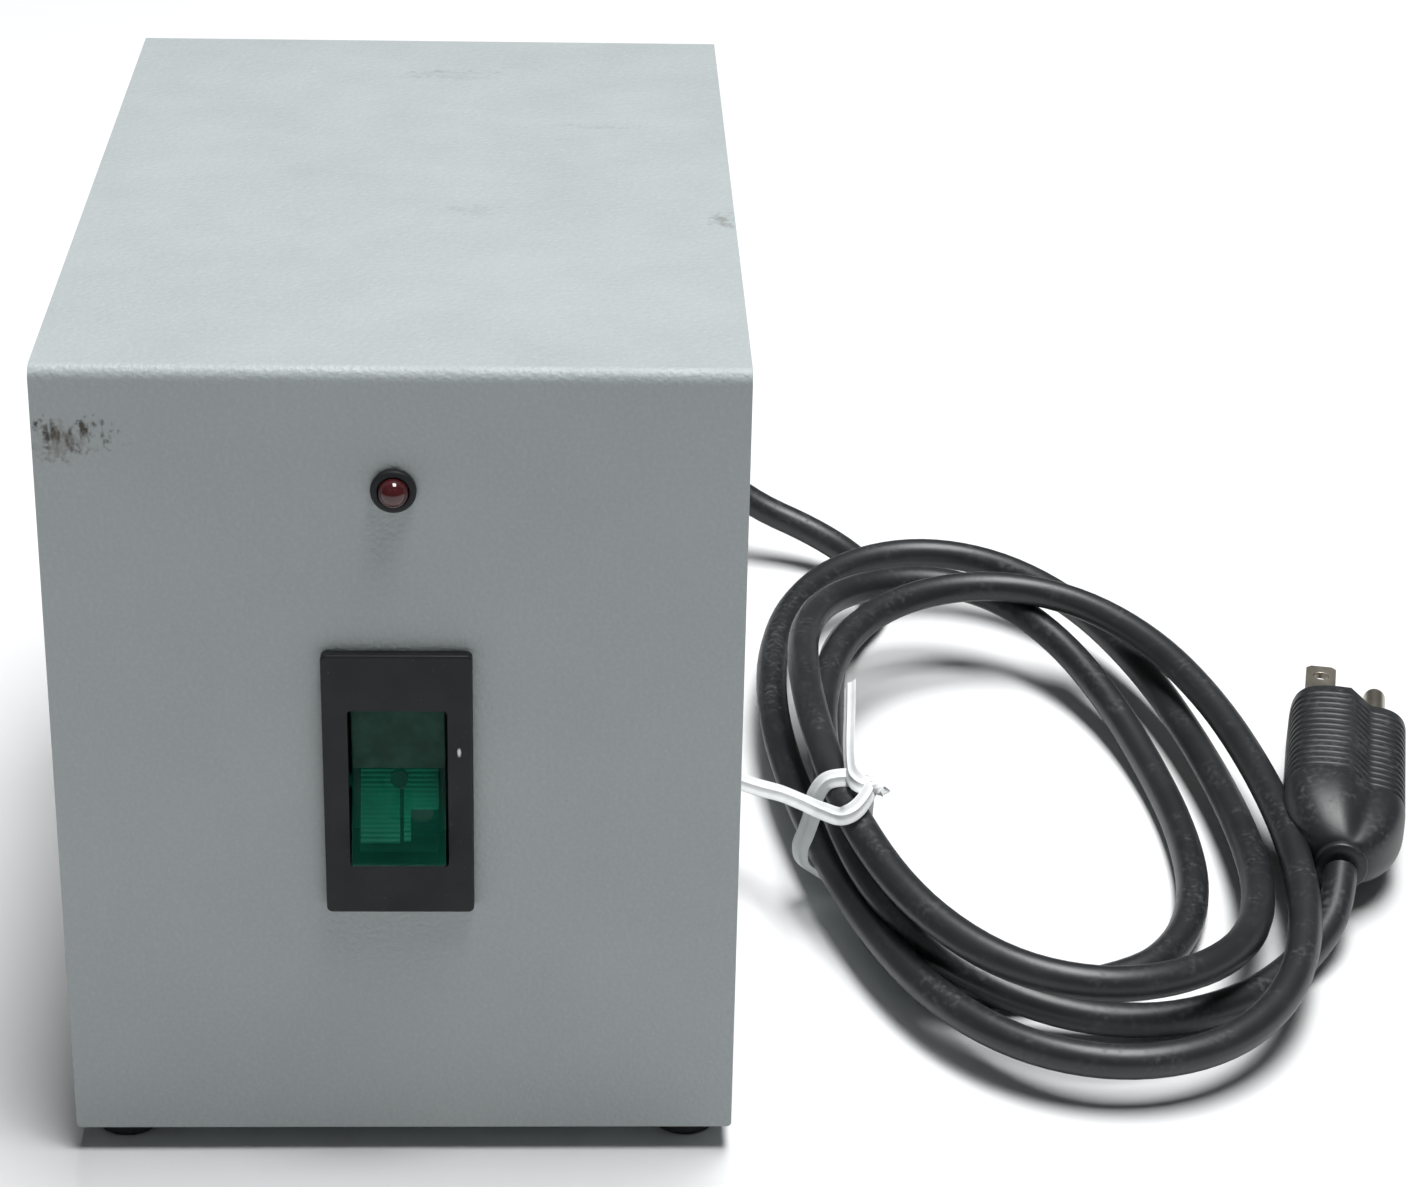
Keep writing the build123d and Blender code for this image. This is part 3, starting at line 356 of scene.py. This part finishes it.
def black_plastic():
    """Two near blacks, dusty specks and one pale chip on the bezel's right edge."""
    made = new_finish("black_plastic", Specular_IOR_Level=0.22)
    patches = ramp(made, noise(made, 70), 0.35, 0.7)
    shade = blend_colours(made, patches, (0.013, 0.0145, 0.016), (0.019, 0.0205, 0.022))
    specks = ramp(made, noise(made, 1300, 2), 0.70, 0.80, 0.0, 0.5)
    dusty = blend_colours(made, specks, shade, (0.07, 0.07, 0.07))
    chip = spot(made, CHIP_AT, CHIP_SIZE, 0.2)
    feed(made, "Base Color", blend_colours(made, chip, dusty, (0.75, 0.75, 0.72)))
    feed(made, "Roughness", ramp(made, noise(made, 160), 0.3, 0.7, 0.44, 0.58))
    feed(made, "Normal", emboss(made, noise(made, 2600, 2), 0.00003, 0.6))
    return made


FINISHES["black_plastic"] = black_plastic()

# %% [markdown]
# The lead's jacket and the plug are black PVC with a dull sheen. Short grey streaks are painted into
# the colour: partly dusty rubs from handling, partly painted highlight of the sheen. The streaks are
# a noise pushed through a steep ramp, mixed in thinly and also used to dull the shine.

# %% Black PVC
def black_pvc(name, dust_and_sheen_share, rough):
    """The middle argument is the share of grey in the streaks, which are partly dusty rubs and partly painted
    highlight.
    """
    made = new_finish(name, Specular_IOR_Level=0.5)
    patches = ramp(made, noise(made, 40), 0.35, 0.7)
    shade = blend_colours(made, patches, (0.013, 0.0145, 0.016), (0.021, 0.023, 0.025))
    fine = ramp(made, noise(made, 850, 6), 0.48, 0.72)
    dust_and_sheen_streak = times(made, fine, ramp(made, noise(made, 110, 3), 0.44, 0.66))
    # Grey streaks in the colour: partly rubbed dust, partly a painted highlight of the cord's sheen.
    feed(made, "Base Color", blend_colours(made, times(made, dust_and_sheen_streak, dust_and_sheen_share), shade, (0.13, 0.133, 0.136)))
    feed(made, "Roughness", ramp(made, dust_and_sheen_streak, 0.0, 1.0, rough, 0.62))
    feed(made, "Normal", emboss(made, noise(made, 700, 4), 0.00004, 0.6))
    return made


FINISHES["black_pvc"] = black_pvc("black_pvc", 0.30, 0.40)
FINISHES["plug_pvc"] = black_pvc("plug_pvc", 0.35, 0.44)
print("black finishes made")

# %% [markdown]
# The rocker is clear green plastic, frosted on its upper face. Real refraction through a thin
# hollow cap needs very many samples, so the cap is partly see-through by Alpha instead: its own
# green glaze lies over the ribbed diffuser behind it, and light falls through it. The upper face
# is nearly solid and matt.

# %% Clear and frosted plastics
def clear_plastic(name, colour, alpha, rough, shine=0.5, coat=0.35):
    """A glaze of the colour that hides by the share alpha what lies behind it."""
    made = new_finish(name, Alpha=alpha, IOR=1.49, Specular_IOR_Level=shine,
                      Coat_Weight=coat, Coat_Roughness=0.06)
    deeper = [c * 0.6 for c in colour]
    patches = ramp(made, noise(made, 260, 4), 0.35, 0.65)
    feed(made, "Base Color", blend_colours(made, patches, colour, deeper))
    feed(made, "Roughness", ramp(made, noise(made, 500, 4), 0.3, 0.7, rough * 0.7, rough * 1.3))
    feed(made, "Normal", emboss(made, noise(made, 900, 3), 0.00002, 0.5))
    return made


FINISHES["green_clear"] = clear_plastic("green_clear", (0.008, 0.135, 0.085), 0.34, 0.12, 0.3, 0.2)
FINISHES["green_frosted"] = clear_plastic("green_frosted", (0.016, 0.066, 0.046), 0.93, 0.5, 0.15, 0.0)
FINISHES["green_diffuser"] = plain_finish("green_diffuser", (0.03, 0.62, 0.36), 0.35, 0.3, 0.0, 500, 0.00003)
FINISHES["red_clear"] = clear_plastic("red_clear", (0.070, 0.012, 0.014), 1.0, 0.12)
print(len(FINISHES), "finishes in all")

# %% [markdown]
# New pieces are surfaces computed on a grid. Rings of points are joined by quads, and each end
# is closed by a fan round the middle of its ring. The points are whole numpy arrays, so a
# shape is one formula, and the faces come from shifted copies of the grid's own numbering.

# %% Surfaces from rings
import bmesh


def finish_piece(name, points, faces, body, slot, finish=None, smooth=40.0):
    """Puts points and faces into a piece that rides on a body; edges sharper than smooth stay crisp."""
    mesh = bpy.data.meshes.new(name)
    mesh.from_pydata(points.tolist(), [], faces)
    shell = bmesh.new()
    shell.from_mesh(mesh)
    bmesh.ops.remove_doubles(shell, verts=shell.verts, dist=1e-7)
    bmesh.ops.recalc_face_normals(shell, faces=shell.faces)
    shell.to_mesh(mesh)
    shell.free()
    mesh.polygons.foreach_set("use_smooth", np.ones(len(mesh.polygons), bool))
    mesh.set_sharp_from_angle(angle=radians(smooth))
    mesh.materials.append(FINISHES[finish or slot])
    piece = bpy.data.objects.new(name, mesh)
    bpy.context.scene.collection.objects.link(piece)
    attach(piece, body)
    print(name, "has", len(mesh.polygons), "faces")
    return piece


def skin(rings):
    """Points and faces of a closed skin over rings shaped (rings, points round, 3)."""
    rows, around = rings.shape[:2]
    number = np.arange(rows * around).reshape(rows, around)
    right = np.roll(number, -1, axis=1)
    quads = np.stack([number[:-1], right[:-1], right[1:], number[1:]], axis=-1).reshape(-1, 4)
    ends = []
    for row, pole in ((0, rows * around), (-1, rows * around + 1)):
        ends += np.stack([number[row], right[row], np.full(around, pole)], axis=-1).tolist()
    points = np.concatenate([rings.reshape(-1, 3), [rings[0].mean(0)], [rings[-1].mean(0)]])
    return points, quads.tolist() + ends


# %% [markdown]
# The CAD parts have the right shapes but knife-sharp edges, and their meshes are loose
# triangles. A copy with its doubles merged and its flat faces joined can take a Bevel modifier,
# which gives each edge the small radius that catches the light. The copy stands for the CAD
# node, and takes the node's body.

# %% Soften the CAD parts
SLOT_OF = {part["node"]: part["material_slot"] for part in frame["record"]["subparts"]}
BODY_OF = {node: body for body, nodes in frame["record"]["behaviour"]["bodies"].items() for node in nodes}


def softened(node, edge, slot, finish=None, segments=2, angle=32.0):
    """A merged copy of a CAD node whose edges are rounded by edge metres."""
    mesh = frame["nodes"][node].data.copy()
    shell = bmesh.new()
    shell.from_mesh(mesh)
    bmesh.ops.remove_doubles(shell, verts=shell.verts, dist=2e-6)
    bmesh.ops.dissolve_limit(shell, angle_limit=radians(0.6), verts=shell.verts, edges=shell.edges)
    shell.to_mesh(mesh)
    shell.free()
    mesh.polygons.foreach_set("use_smooth", np.ones(len(mesh.polygons), bool))
    mesh.set_sharp_from_angle(angle=radians(angle))
    mesh.materials.clear()
    mesh.materials.append(FINISHES[finish or slot])
    piece = bpy.data.objects.new(node + "_finished", mesh)
    bpy.context.scene.collection.objects.link(piece)
    bevel = piece.modifiers.new("edges", "BEVEL")
    bevel.width, bevel.segments = edge, segments
    bevel.limit_method, bevel.angle_limit = "ANGLE", radians(angle)
    bevel.harden_normals = True
    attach(piece, BODY_OF[node])
    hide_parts(node)
    return piece


EDGES = {
    "cover_wrap": (0.30, "case_paint"), "chassis_tray": (0.25, "case_paint"),
    "switch_bezel": (0.25, "black_plastic"), "lamp_holder": (0.25, "black_plastic"),
    "rubber_feet": (0.5, "black_rubber"), "rear_screws": (0.15, "zinc_steel"),
    "strain_relief": (0.35, "black_pvc"), "plug_blades": (0.18, "tinned_metal"),
    "plug_earth_pin": (0.1, "tinned_metal"), "foot_screws": (0.12, "zinc_steel"),
}
for node, (edge, slot_name) in EDGES.items():
    softened(node, edge * MM, slot_name)
print(len(EDGES), "CAD parts softened")

# %% [markdown]
# The parts inside keep their CAD meshes. They take the finish of their material slot.

# %% Finishes for the parts inside
for node, obj in frame["nodes"].items():
    if not obj.hide_render:
        obj.data.materials.clear()
        obj.data.materials.append(FINISHES[SLOT_OF[node]])
print("slots in use:", len(set(SLOT_OF.values())))

# %% [markdown]
# The rocker's cap is a hollow shell. Its upper face and its lower lip are frosted and the face
# between them is clear, so the copy of its mesh takes two finishes, shared out by where each
# face lies.

# %% Rocker cap
PIVOT = Vector(next(j for j in frame["joints"] if j["name"] == "rocker_tilt")["pos_m"])
VALLEY_UP, LIP_DOWN = 2.6 * MM, 10.2 * MM
cap = softened("rocker_cap", 0.3 * MM, "green_clear")
cap.data.materials.append(FINISHES["green_frosted"])
centres = np.array([face.center for face in cap.data.polygons])
outward = np.array([face.normal for face in cap.data.polygons])
upper = (centres[:, 2] > PIVOT.z + VALLEY_UP) & (outward[:, 1] < -0.9)
lip = (centres[:, 2] < PIVOT.z - LIP_DOWN) & (outward[:, 1] < -0.3)
frosted = (upper | lip) & (centres[:, 1] < PIVOT.y)
cap.data.polygons.foreach_set("material_index", frosted.astype(np.int32))
print("frosted faces on the rocker:", int(frosted.sum()))

# %% [markdown]
# Behind the clear face lies a moulded diffuser with fine level ridges, like a row of tiny
# prisms. They are what shows as bright lines. It is made as three upright strips: one left of a
# narrow slot, a slim one right of it, and one that is cut short to make room for the lamp. Each
# strip is a ridged outline in the side view, carried straight across. With the rocker tilted to
# its limit, the two strips right of the slot still cut into the lamp.

# %% Ridged diffuser
RIDGE_PITCH, RIDGE_DEPTH, DIFFUSER_T = 0.8 * MM, 0.34 * MM, 0.9 * MM
UPPER_END, LOWER_END = np.array([1.4, -1.9]) * MM, np.array([-10.6, 3.0]) * MM


def diffuser(name, left, right, share):
    """A zigzag from the upper end a share of the way down, thickened backwards, between two x."""
    along = (LOWER_END - UPPER_END) * share
    length = float(np.linalg.norm(along))
    count = 2 * round(length / RIDGE_PITCH)
    out = np.array([along[1], -along[0]]) / length
    steps = np.linspace(0, 1, count + 1)[:, None]
    front = UPPER_END + steps * along + out * RIDGE_DEPTH * (np.arange(count + 1) % 2)[:, None]
    back = (UPPER_END + steps * along - out * DIFFUSER_T)[::-1]
    outline = np.concatenate([front, back])
    y, z = PIVOT.y - outline[:, 1], PIVOT.z + outline[:, 0]
    rings = np.stack([np.stack([np.full(len(outline), x), y, z], -1) for x in (left, right)])
    points = rings.reshape(-1, 3)
    n = len(outline)
    loop = np.arange(n)
    sides = np.stack([loop, (loop + 1) % n, (loop + 1) % n + n, loop + n], -1).tolist()
    half = n // 2
    caps = [[i, i + 1, n - 2 - i, n - 1 - i] for i in range(half - 1)]
    caps += [[j + n for j in cap_face] for cap_face in caps]
    return finish_piece(name, points, sides + caps, "rocker", "green_clear", "green_diffuser", 20.0)


diffuser("diffuser_left", -6.5 * MM, 0.05 * MM, 1.0)
diffuser("diffuser_middle", 0.75 * MM, 1.9 * MM, 0.98)
diffuser("diffuser_right", 1.9 * MM, 6.5 * MM, 0.56)

# %% [markdown]
# The pilot lamp is a clear red dome in its black ring. It is a profile turned about the lamp's
# axis: a short cylinder that rounds over into half a ball.

# %% Pilot lamp
LENS_LOW, LENS_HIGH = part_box("lamp_lens")
LAMP_Z = (LENS_LOW.z + LENS_HIGH.z) / 2
DOME_R, FLANGE_R = 2.5 * MM, 2.9 * MM


def turned(profile, centre_x, centre_z, around=48):
    """Rings round an axis along Y: each (radius, y) of the profile becomes a circle."""
    angle = np.linspace(0, 2 * pi, around, endpoint=False)
    radius, y = profile[:, :1], profile[:, 1:]
    return np.stack([centre_x + radius * np.cos(angle), y + 0 * angle, centre_z + radius * np.sin(angle)], -1)


rise = np.linspace(0.02, pi / 2, 16)
dome = np.c_[DOME_R * np.sin(rise), LENS_LOW.y + DOME_R * (1 - np.cos(rise))]
foot = np.array([[DOME_R, LENS_HIGH.y - 1.05 * MM], [FLANGE_R, LENS_HIGH.y - 1.0 * MM],
                 [FLANGE_R, LENS_HIGH.y]])
lens = finish_piece("pilot_lens", *skin(turned(np.r_[dome, foot], 0.0, LAMP_Z)), "case", "red_clear")
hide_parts("lamp_lens")

# %% [markdown]
# The plug is one soft moulding. Across its axis it has two lobes: a thick one round the flat
# blades and a thinner one round the earth pin, with a gentle S between them. Along its axis it
# runs straight past fourteen grip grooves, then draws in over a shoulder to a round neck and a
# collar. A box with cut grooves would look machined, so the whole skin is one formula.

# %% Plug body
HALF_W, THICK, THIN, NECK_R, COLLAR_R = 12.3, 11.8, 8.0, 4.7, 5.2
SHOULDER_Y, GROOVE_FIRST, GROOVE_PITCH, GROOVES, GROOVE_DEPTH = -37.5, -4.6, 2.4, 14, 0.62


def smooth_step(t):
    """3 t^2 - 2 t^3, from 0 to 1."""
    t = np.clip(t, 0, 1)
    return t * t * (3 - 2 * t)


def plug_rings():
    """A superellipse whose height steps from the thick lobe to the thin one, carried along the axis.

    Its half width and heights shrink over the shoulder as an ellipse does, dip at each groove by a
    narrow bell curve, and round off at the front face. Past the neck the section is the collar's."""
    y = np.r_[np.linspace(0, -3.4, 18), np.linspace(-3.5, -38, 230), np.linspace(-38.5, NECK_Y, 40)][:, None]
    angle = np.linspace(0, 2 * pi, 112, endpoint=False)[None, :]
    draw_in = np.clip((SHOULDER_Y - y) / (SHOULDER_Y - NECK_Y), 0, 1)
    keep = (1 - draw_in ** 1.9) ** 0.75
    at_face = np.clip(1 + y / 1.3, 0, 1)
    round_off = 1.3 * (1 - np.sqrt(1 - at_face ** 2))
    groove = sum(np.exp(-((y - GROOVE_FIRST + GROOVE_PITCH * i) / 0.40) ** 2) for i in range(GROOVES))
    cut = GROOVE_DEPTH * groove + round_off
    wide = NECK_R + (HALF_W - NECK_R) * keep - cut
    sharp = 2.0 + 1.9 * keep ** 0.5
    across_x = np.sign(np.cos(angle)) * np.abs(np.cos(angle)) ** (2 / (sharp - 0.5 * np.cos(angle) * keep))
    lobe = smooth_step((across_x * HALF_W + 0.5) / 5.6)
    tall = NECK_R + ((THICK * (1 - lobe) + THIN * lobe) - NECK_R) * keep - cut
    z = tall * np.sign(np.sin(angle)) * np.abs(np.sin(angle)) ** (2 / (sharp - 0.4 * lobe * keep))
    body = np.stack([wide * across_x, y + 0 * angle, z], -1)
    collar = turned(np.array([[4.9, NECK_Y], [COLLAR_R, NECK_Y - 0.25], [COLLAR_R, NECK_Y - 1.45],
                              [4.9, NECK_Y - 1.8], [3.3, NECK_Y - 1.8]]), 0, 0, 112)
    return np.concatenate([body, collar])


def place_plug(points):
    """From the plug's own millimetres, face at the origin, to where it lies on the bench."""
    turn = np.array([[cos(PLUG_TURN), -sin(PLUG_TURN), 0], [sin(PLUG_TURN), cos(PLUG_TURN), 0], [0, 0, 1]])
    return (points @ turn.T + np.array(PLUG_AT)) * MM


plug = finish_piece("plug_moulding", *skin(place_plug(plug_rings())), "case", "black_pvc", "plug_pvc", 60.0)
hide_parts("plug_body")

# %% [markdown]
# The tie is a flat white strip with a wire down its middle. It goes round the bundle, its two
# ends cross and are twisted together, and two tails are left. Each stretch is a ribbon: a thin
# section, thicker over the wire, carried along a smooth curve through a few points. A second
# row of vectors says which way the flat side faces at each point.

# %% Ribbons
STRIP_HALF, STRIP_T, WIRE_T = 1.85, 0.17, 0.42


def through(points, count):
    """A smooth curve through the points: each span is a cubic with its neighbours' slope."""
    points = np.array(points, float)
    padded = np.concatenate([[2 * points[0] - points[1]], points, [2 * points[-1] - points[-2]]])
    at = np.linspace(0, len(points) - 1 - 1e-9, count)
    i = at.astype(int)
    t = (at - i)[:, None]
    a, b, c, d = (padded[i + k] for k in range(4))
    return 0.5 * (2 * b + (c - a) * t + (2 * a - 5 * b + 4 * c - d) * t ** 2
                  + (3 * b - a - 3 * c + d) * t ** 3)


def ribbon_rings(points, facing, count, half=STRIP_HALF):
    """A lens-like section with a ridge of bell shape over the wire, square to the curve."""
    line, face = through(points, count), through(facing, count)
    along = np.gradient(line, axis=0)
    along /= np.linalg.norm(along, axis=1, keepdims=True)
    face -= along * (face * along).sum(1, keepdims=True)
    face /= np.linalg.norm(face, axis=1, keepdims=True)
    side = np.cross(along, face)
    angle = np.linspace(0, 2 * pi, 40, endpoint=False)
    s = half * np.sign(np.cos(angle)) * np.abs(np.cos(angle)) ** 0.8
    n = np.sin(angle) * STRIP_T + np.sign(np.sin(angle)) * WIRE_T * np.exp(-(s / 0.42) ** 2)
    return (line[:, None] + side[:, None] * s[:, None] + face[:, None] * n[:, None]) * MM


def join_skins(skins):
    """Several closed skins as one list of points and faces."""
    points, faces, start = [], [], 0
    for some_points, some_faces in skins:
        points.append(some_points)
        faces += [[i + start for i in face] for face in some_faces]
        start += len(some_points)
    return np.concatenate(points), faces


# %% Twist tie
LONG_TAIL = [(61.5, 9.8, 21.6), (66.0, 5.4, 22.3), (70.4, 1.2, 23.2), (74.2, -5.4, 25.0), (77.4, -12.6, 27.2),
             (80.6, -17.6, 28.8), (83.6, -17.2, 30.0), (86.2, -12.8, 30.8), (87.4, -8.8, 31.0)]
LONG_FACING = [(0.1, -0.7, 0.7), (0.1, -0.7, 0.7), (0.1, -0.7, 0.7), (0.05, -0.72, 0.7), (-0.1, -0.7, 0.7),
               (0.0, -0.75, 0.65), (0.35, -0.75, 0.5), (0.7, -0.5, 0.5), (0.8, -0.1, 0.6)]
LOOP = [(86.6, -5.8, 29.2), (84.4, -5.0, 30.0), (81.4, -4.6, 30.0), (78.6, -4.2, 28.8), (76.8, -3.8, 25.4),
        (76.4, -3.0, 21.0), (75.4, -2.2, 16.5), (74.4, -1.4, 12.5), (75.0, -0.8, 8.8), (77.6, -0.6, 6.4),
        (81.2, -0.8, 4.2), (85.0, -1.2, 3.6), (88.2, -2.0, 5.6), (89.0, -2.8, 9.5), (87.8, -3.6, 14.5),
        (86.6, -4.4, 20), (86.6, -5.2, 25.5)]
LOOP_MIDDLE = np.array([81.8, 9.0, 17.0])
SHORT_TAIL = [(87.0, -10.2, 31.0), (85.0, -9.2, 31.2), (83.6, -6.4, 31.6), (83.3, -2.6, 32.5),
              (83.6, 4.3, 34.2), (84.2, 11.8, 35.9), (84.8, 20.3, 37.6)]
SHORT_FACING = [(0.2, -0.5, 0.8), (-0.5, -0.4, 0.8), (-0.85, -0.2, 0.5), (-0.85, -0.3, 0.45),
                (-0.8, -0.35, 0.5), (-0.8, -0.35, 0.5), (-0.8, -0.35, 0.5)]
KNOT_FROM, KNOT_TO = np.array([84.4, -5.6, 31.2]), np.array([89.6, -11.8, 30.8])
KNOT_TURNS, KNOT_R, KNOT_SHRINK, KNOT_HALF = 1.6, 0.95, 0.3, 0.95


def knot_rings(phase):
    """A narrow ribbon that winds round the knot's axis as a helix of falling radius."""
    t = np.linspace(0, 1, 9)[:, None]
    axis = (KNOT_TO - KNOT_FROM) / np.linalg.norm(KNOT_TO - KNOT_FROM)
    one = np.cross(axis, [0, 0, 1])
    two = np.cross(one, axis)
    angle = phase + 2 * pi * KNOT_TURNS * t
    outwards = one * np.cos(angle) + two * np.sin(angle)
    middle = KNOT_FROM + (KNOT_TO - KNOT_FROM) * t
    return ribbon_rings(middle + outwards * (KNOT_R - KNOT_SHRINK * t), outwards, 60, KNOT_HALF)


tie_skins = [skin(ribbon_rings(LONG_TAIL, LONG_FACING, 120)),
             skin(ribbon_rings(LOOP, np.array(LOOP) - LOOP_MIDDLE, 160)),
             skin(ribbon_rings(SHORT_TAIL, SHORT_FACING, 90))]
tie_skins += [skin(knot_rings(phase)) for phase in (0.0, pi)]
FINISHES["tie_strip"] = plain_finish("tie_strip", (0.80, 0.82, 0.82), 0.12, 0.42, grain=700,
                                     depth=0.00004, patch=200)
tie = finish_piece("tie_strip", *join_skins(tie_skins), "case", "white_plastic", "tie_strip", 50.0)
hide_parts("twist_tie")

# %% [markdown]
# The lead's curve stands for the three CAD solids of the lead, which are hidden. It takes the
# black PVC finish.

lead.data.materials.append(FINISHES["black_pvc"])
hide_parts("lead_tube", "lead_coil", "lead_tail")

# %% [markdown]
# The stage is a wide pale sheet, almost evenly lit. Most of the light is soft and comes from
# above and to the right, so the top is pale, the front is in soft shade and the floor goes
# nearly white. Two small weak lights in front put glints on the shiny parts.

# %% Stage and lights
FLOOR_HALF = 4.0


def soft_light(name, at, target, size, power, colour=(1.0, 1.0, 1.0)):
    """A rectangular lamp of size (width, height) in metres at a place, facing a target."""
    lamp = bpy.data.lights.new(name, "AREA")
    lamp.shape, lamp.size, lamp.size_y = "RECTANGLE", *size
    lamp.energy, lamp.color = power, colour
    obj = bpy.data.objects.new(name, lamp)
    obj.location = at
    obj.rotation_euler = (Vector(target) - Vector(at)).to_track_quat("-Z", "Y").to_euler()
    bpy.context.scene.collection.objects.link(obj)


paper = new_finish("white_paper", Roughness=0.85, Specular_IOR_Level=0.1)
feed(paper, "Base Color", blend_colours(paper, noise(paper, 3, 4), (0.74, 0.745, 0.75), (0.77, 0.775, 0.78)))
floor_mesh = bpy.data.meshes.new("floor")
floor_mesh.from_pydata([(x * FLOOR_HALF, y * FLOOR_HALF, 0) for x, y in ((-1, -1), (1, -1), (1, 1), (-1, 1))],
                       [], [(0, 1, 2, 3)])
floor_mesh.materials.append(paper)
floor = bpy.data.objects.new("floor", floor_mesh)
bpy.context.scene.collection.objects.link(floor)
soft_light("overhead", (0.32, 0.04, 2.3), (0.12, 0.0, 0.0), (1.6, 0.8), 84.0)
soft_light("window_left", (-0.55, -0.9, 1.0), (0, 0, 0.1), (0.10, 0.16), 0.08)
soft_light("window_right", (0.35, -1.0, 1.05), (0, 0, 0.1), (0.10, 0.16), 0.08)
world = bpy.data.worlds.new("studio")
world.use_nodes = True
world.node_tree.nodes["Background"].inputs["Color"].default_value = (0.96, 0.98, 1.0, 1.0)
world.node_tree.nodes["Background"].inputs["Strength"].default_value = 0.07
bpy.context.scene.world = world
bpy.context.scene.view_settings.view_transform = "Standard"
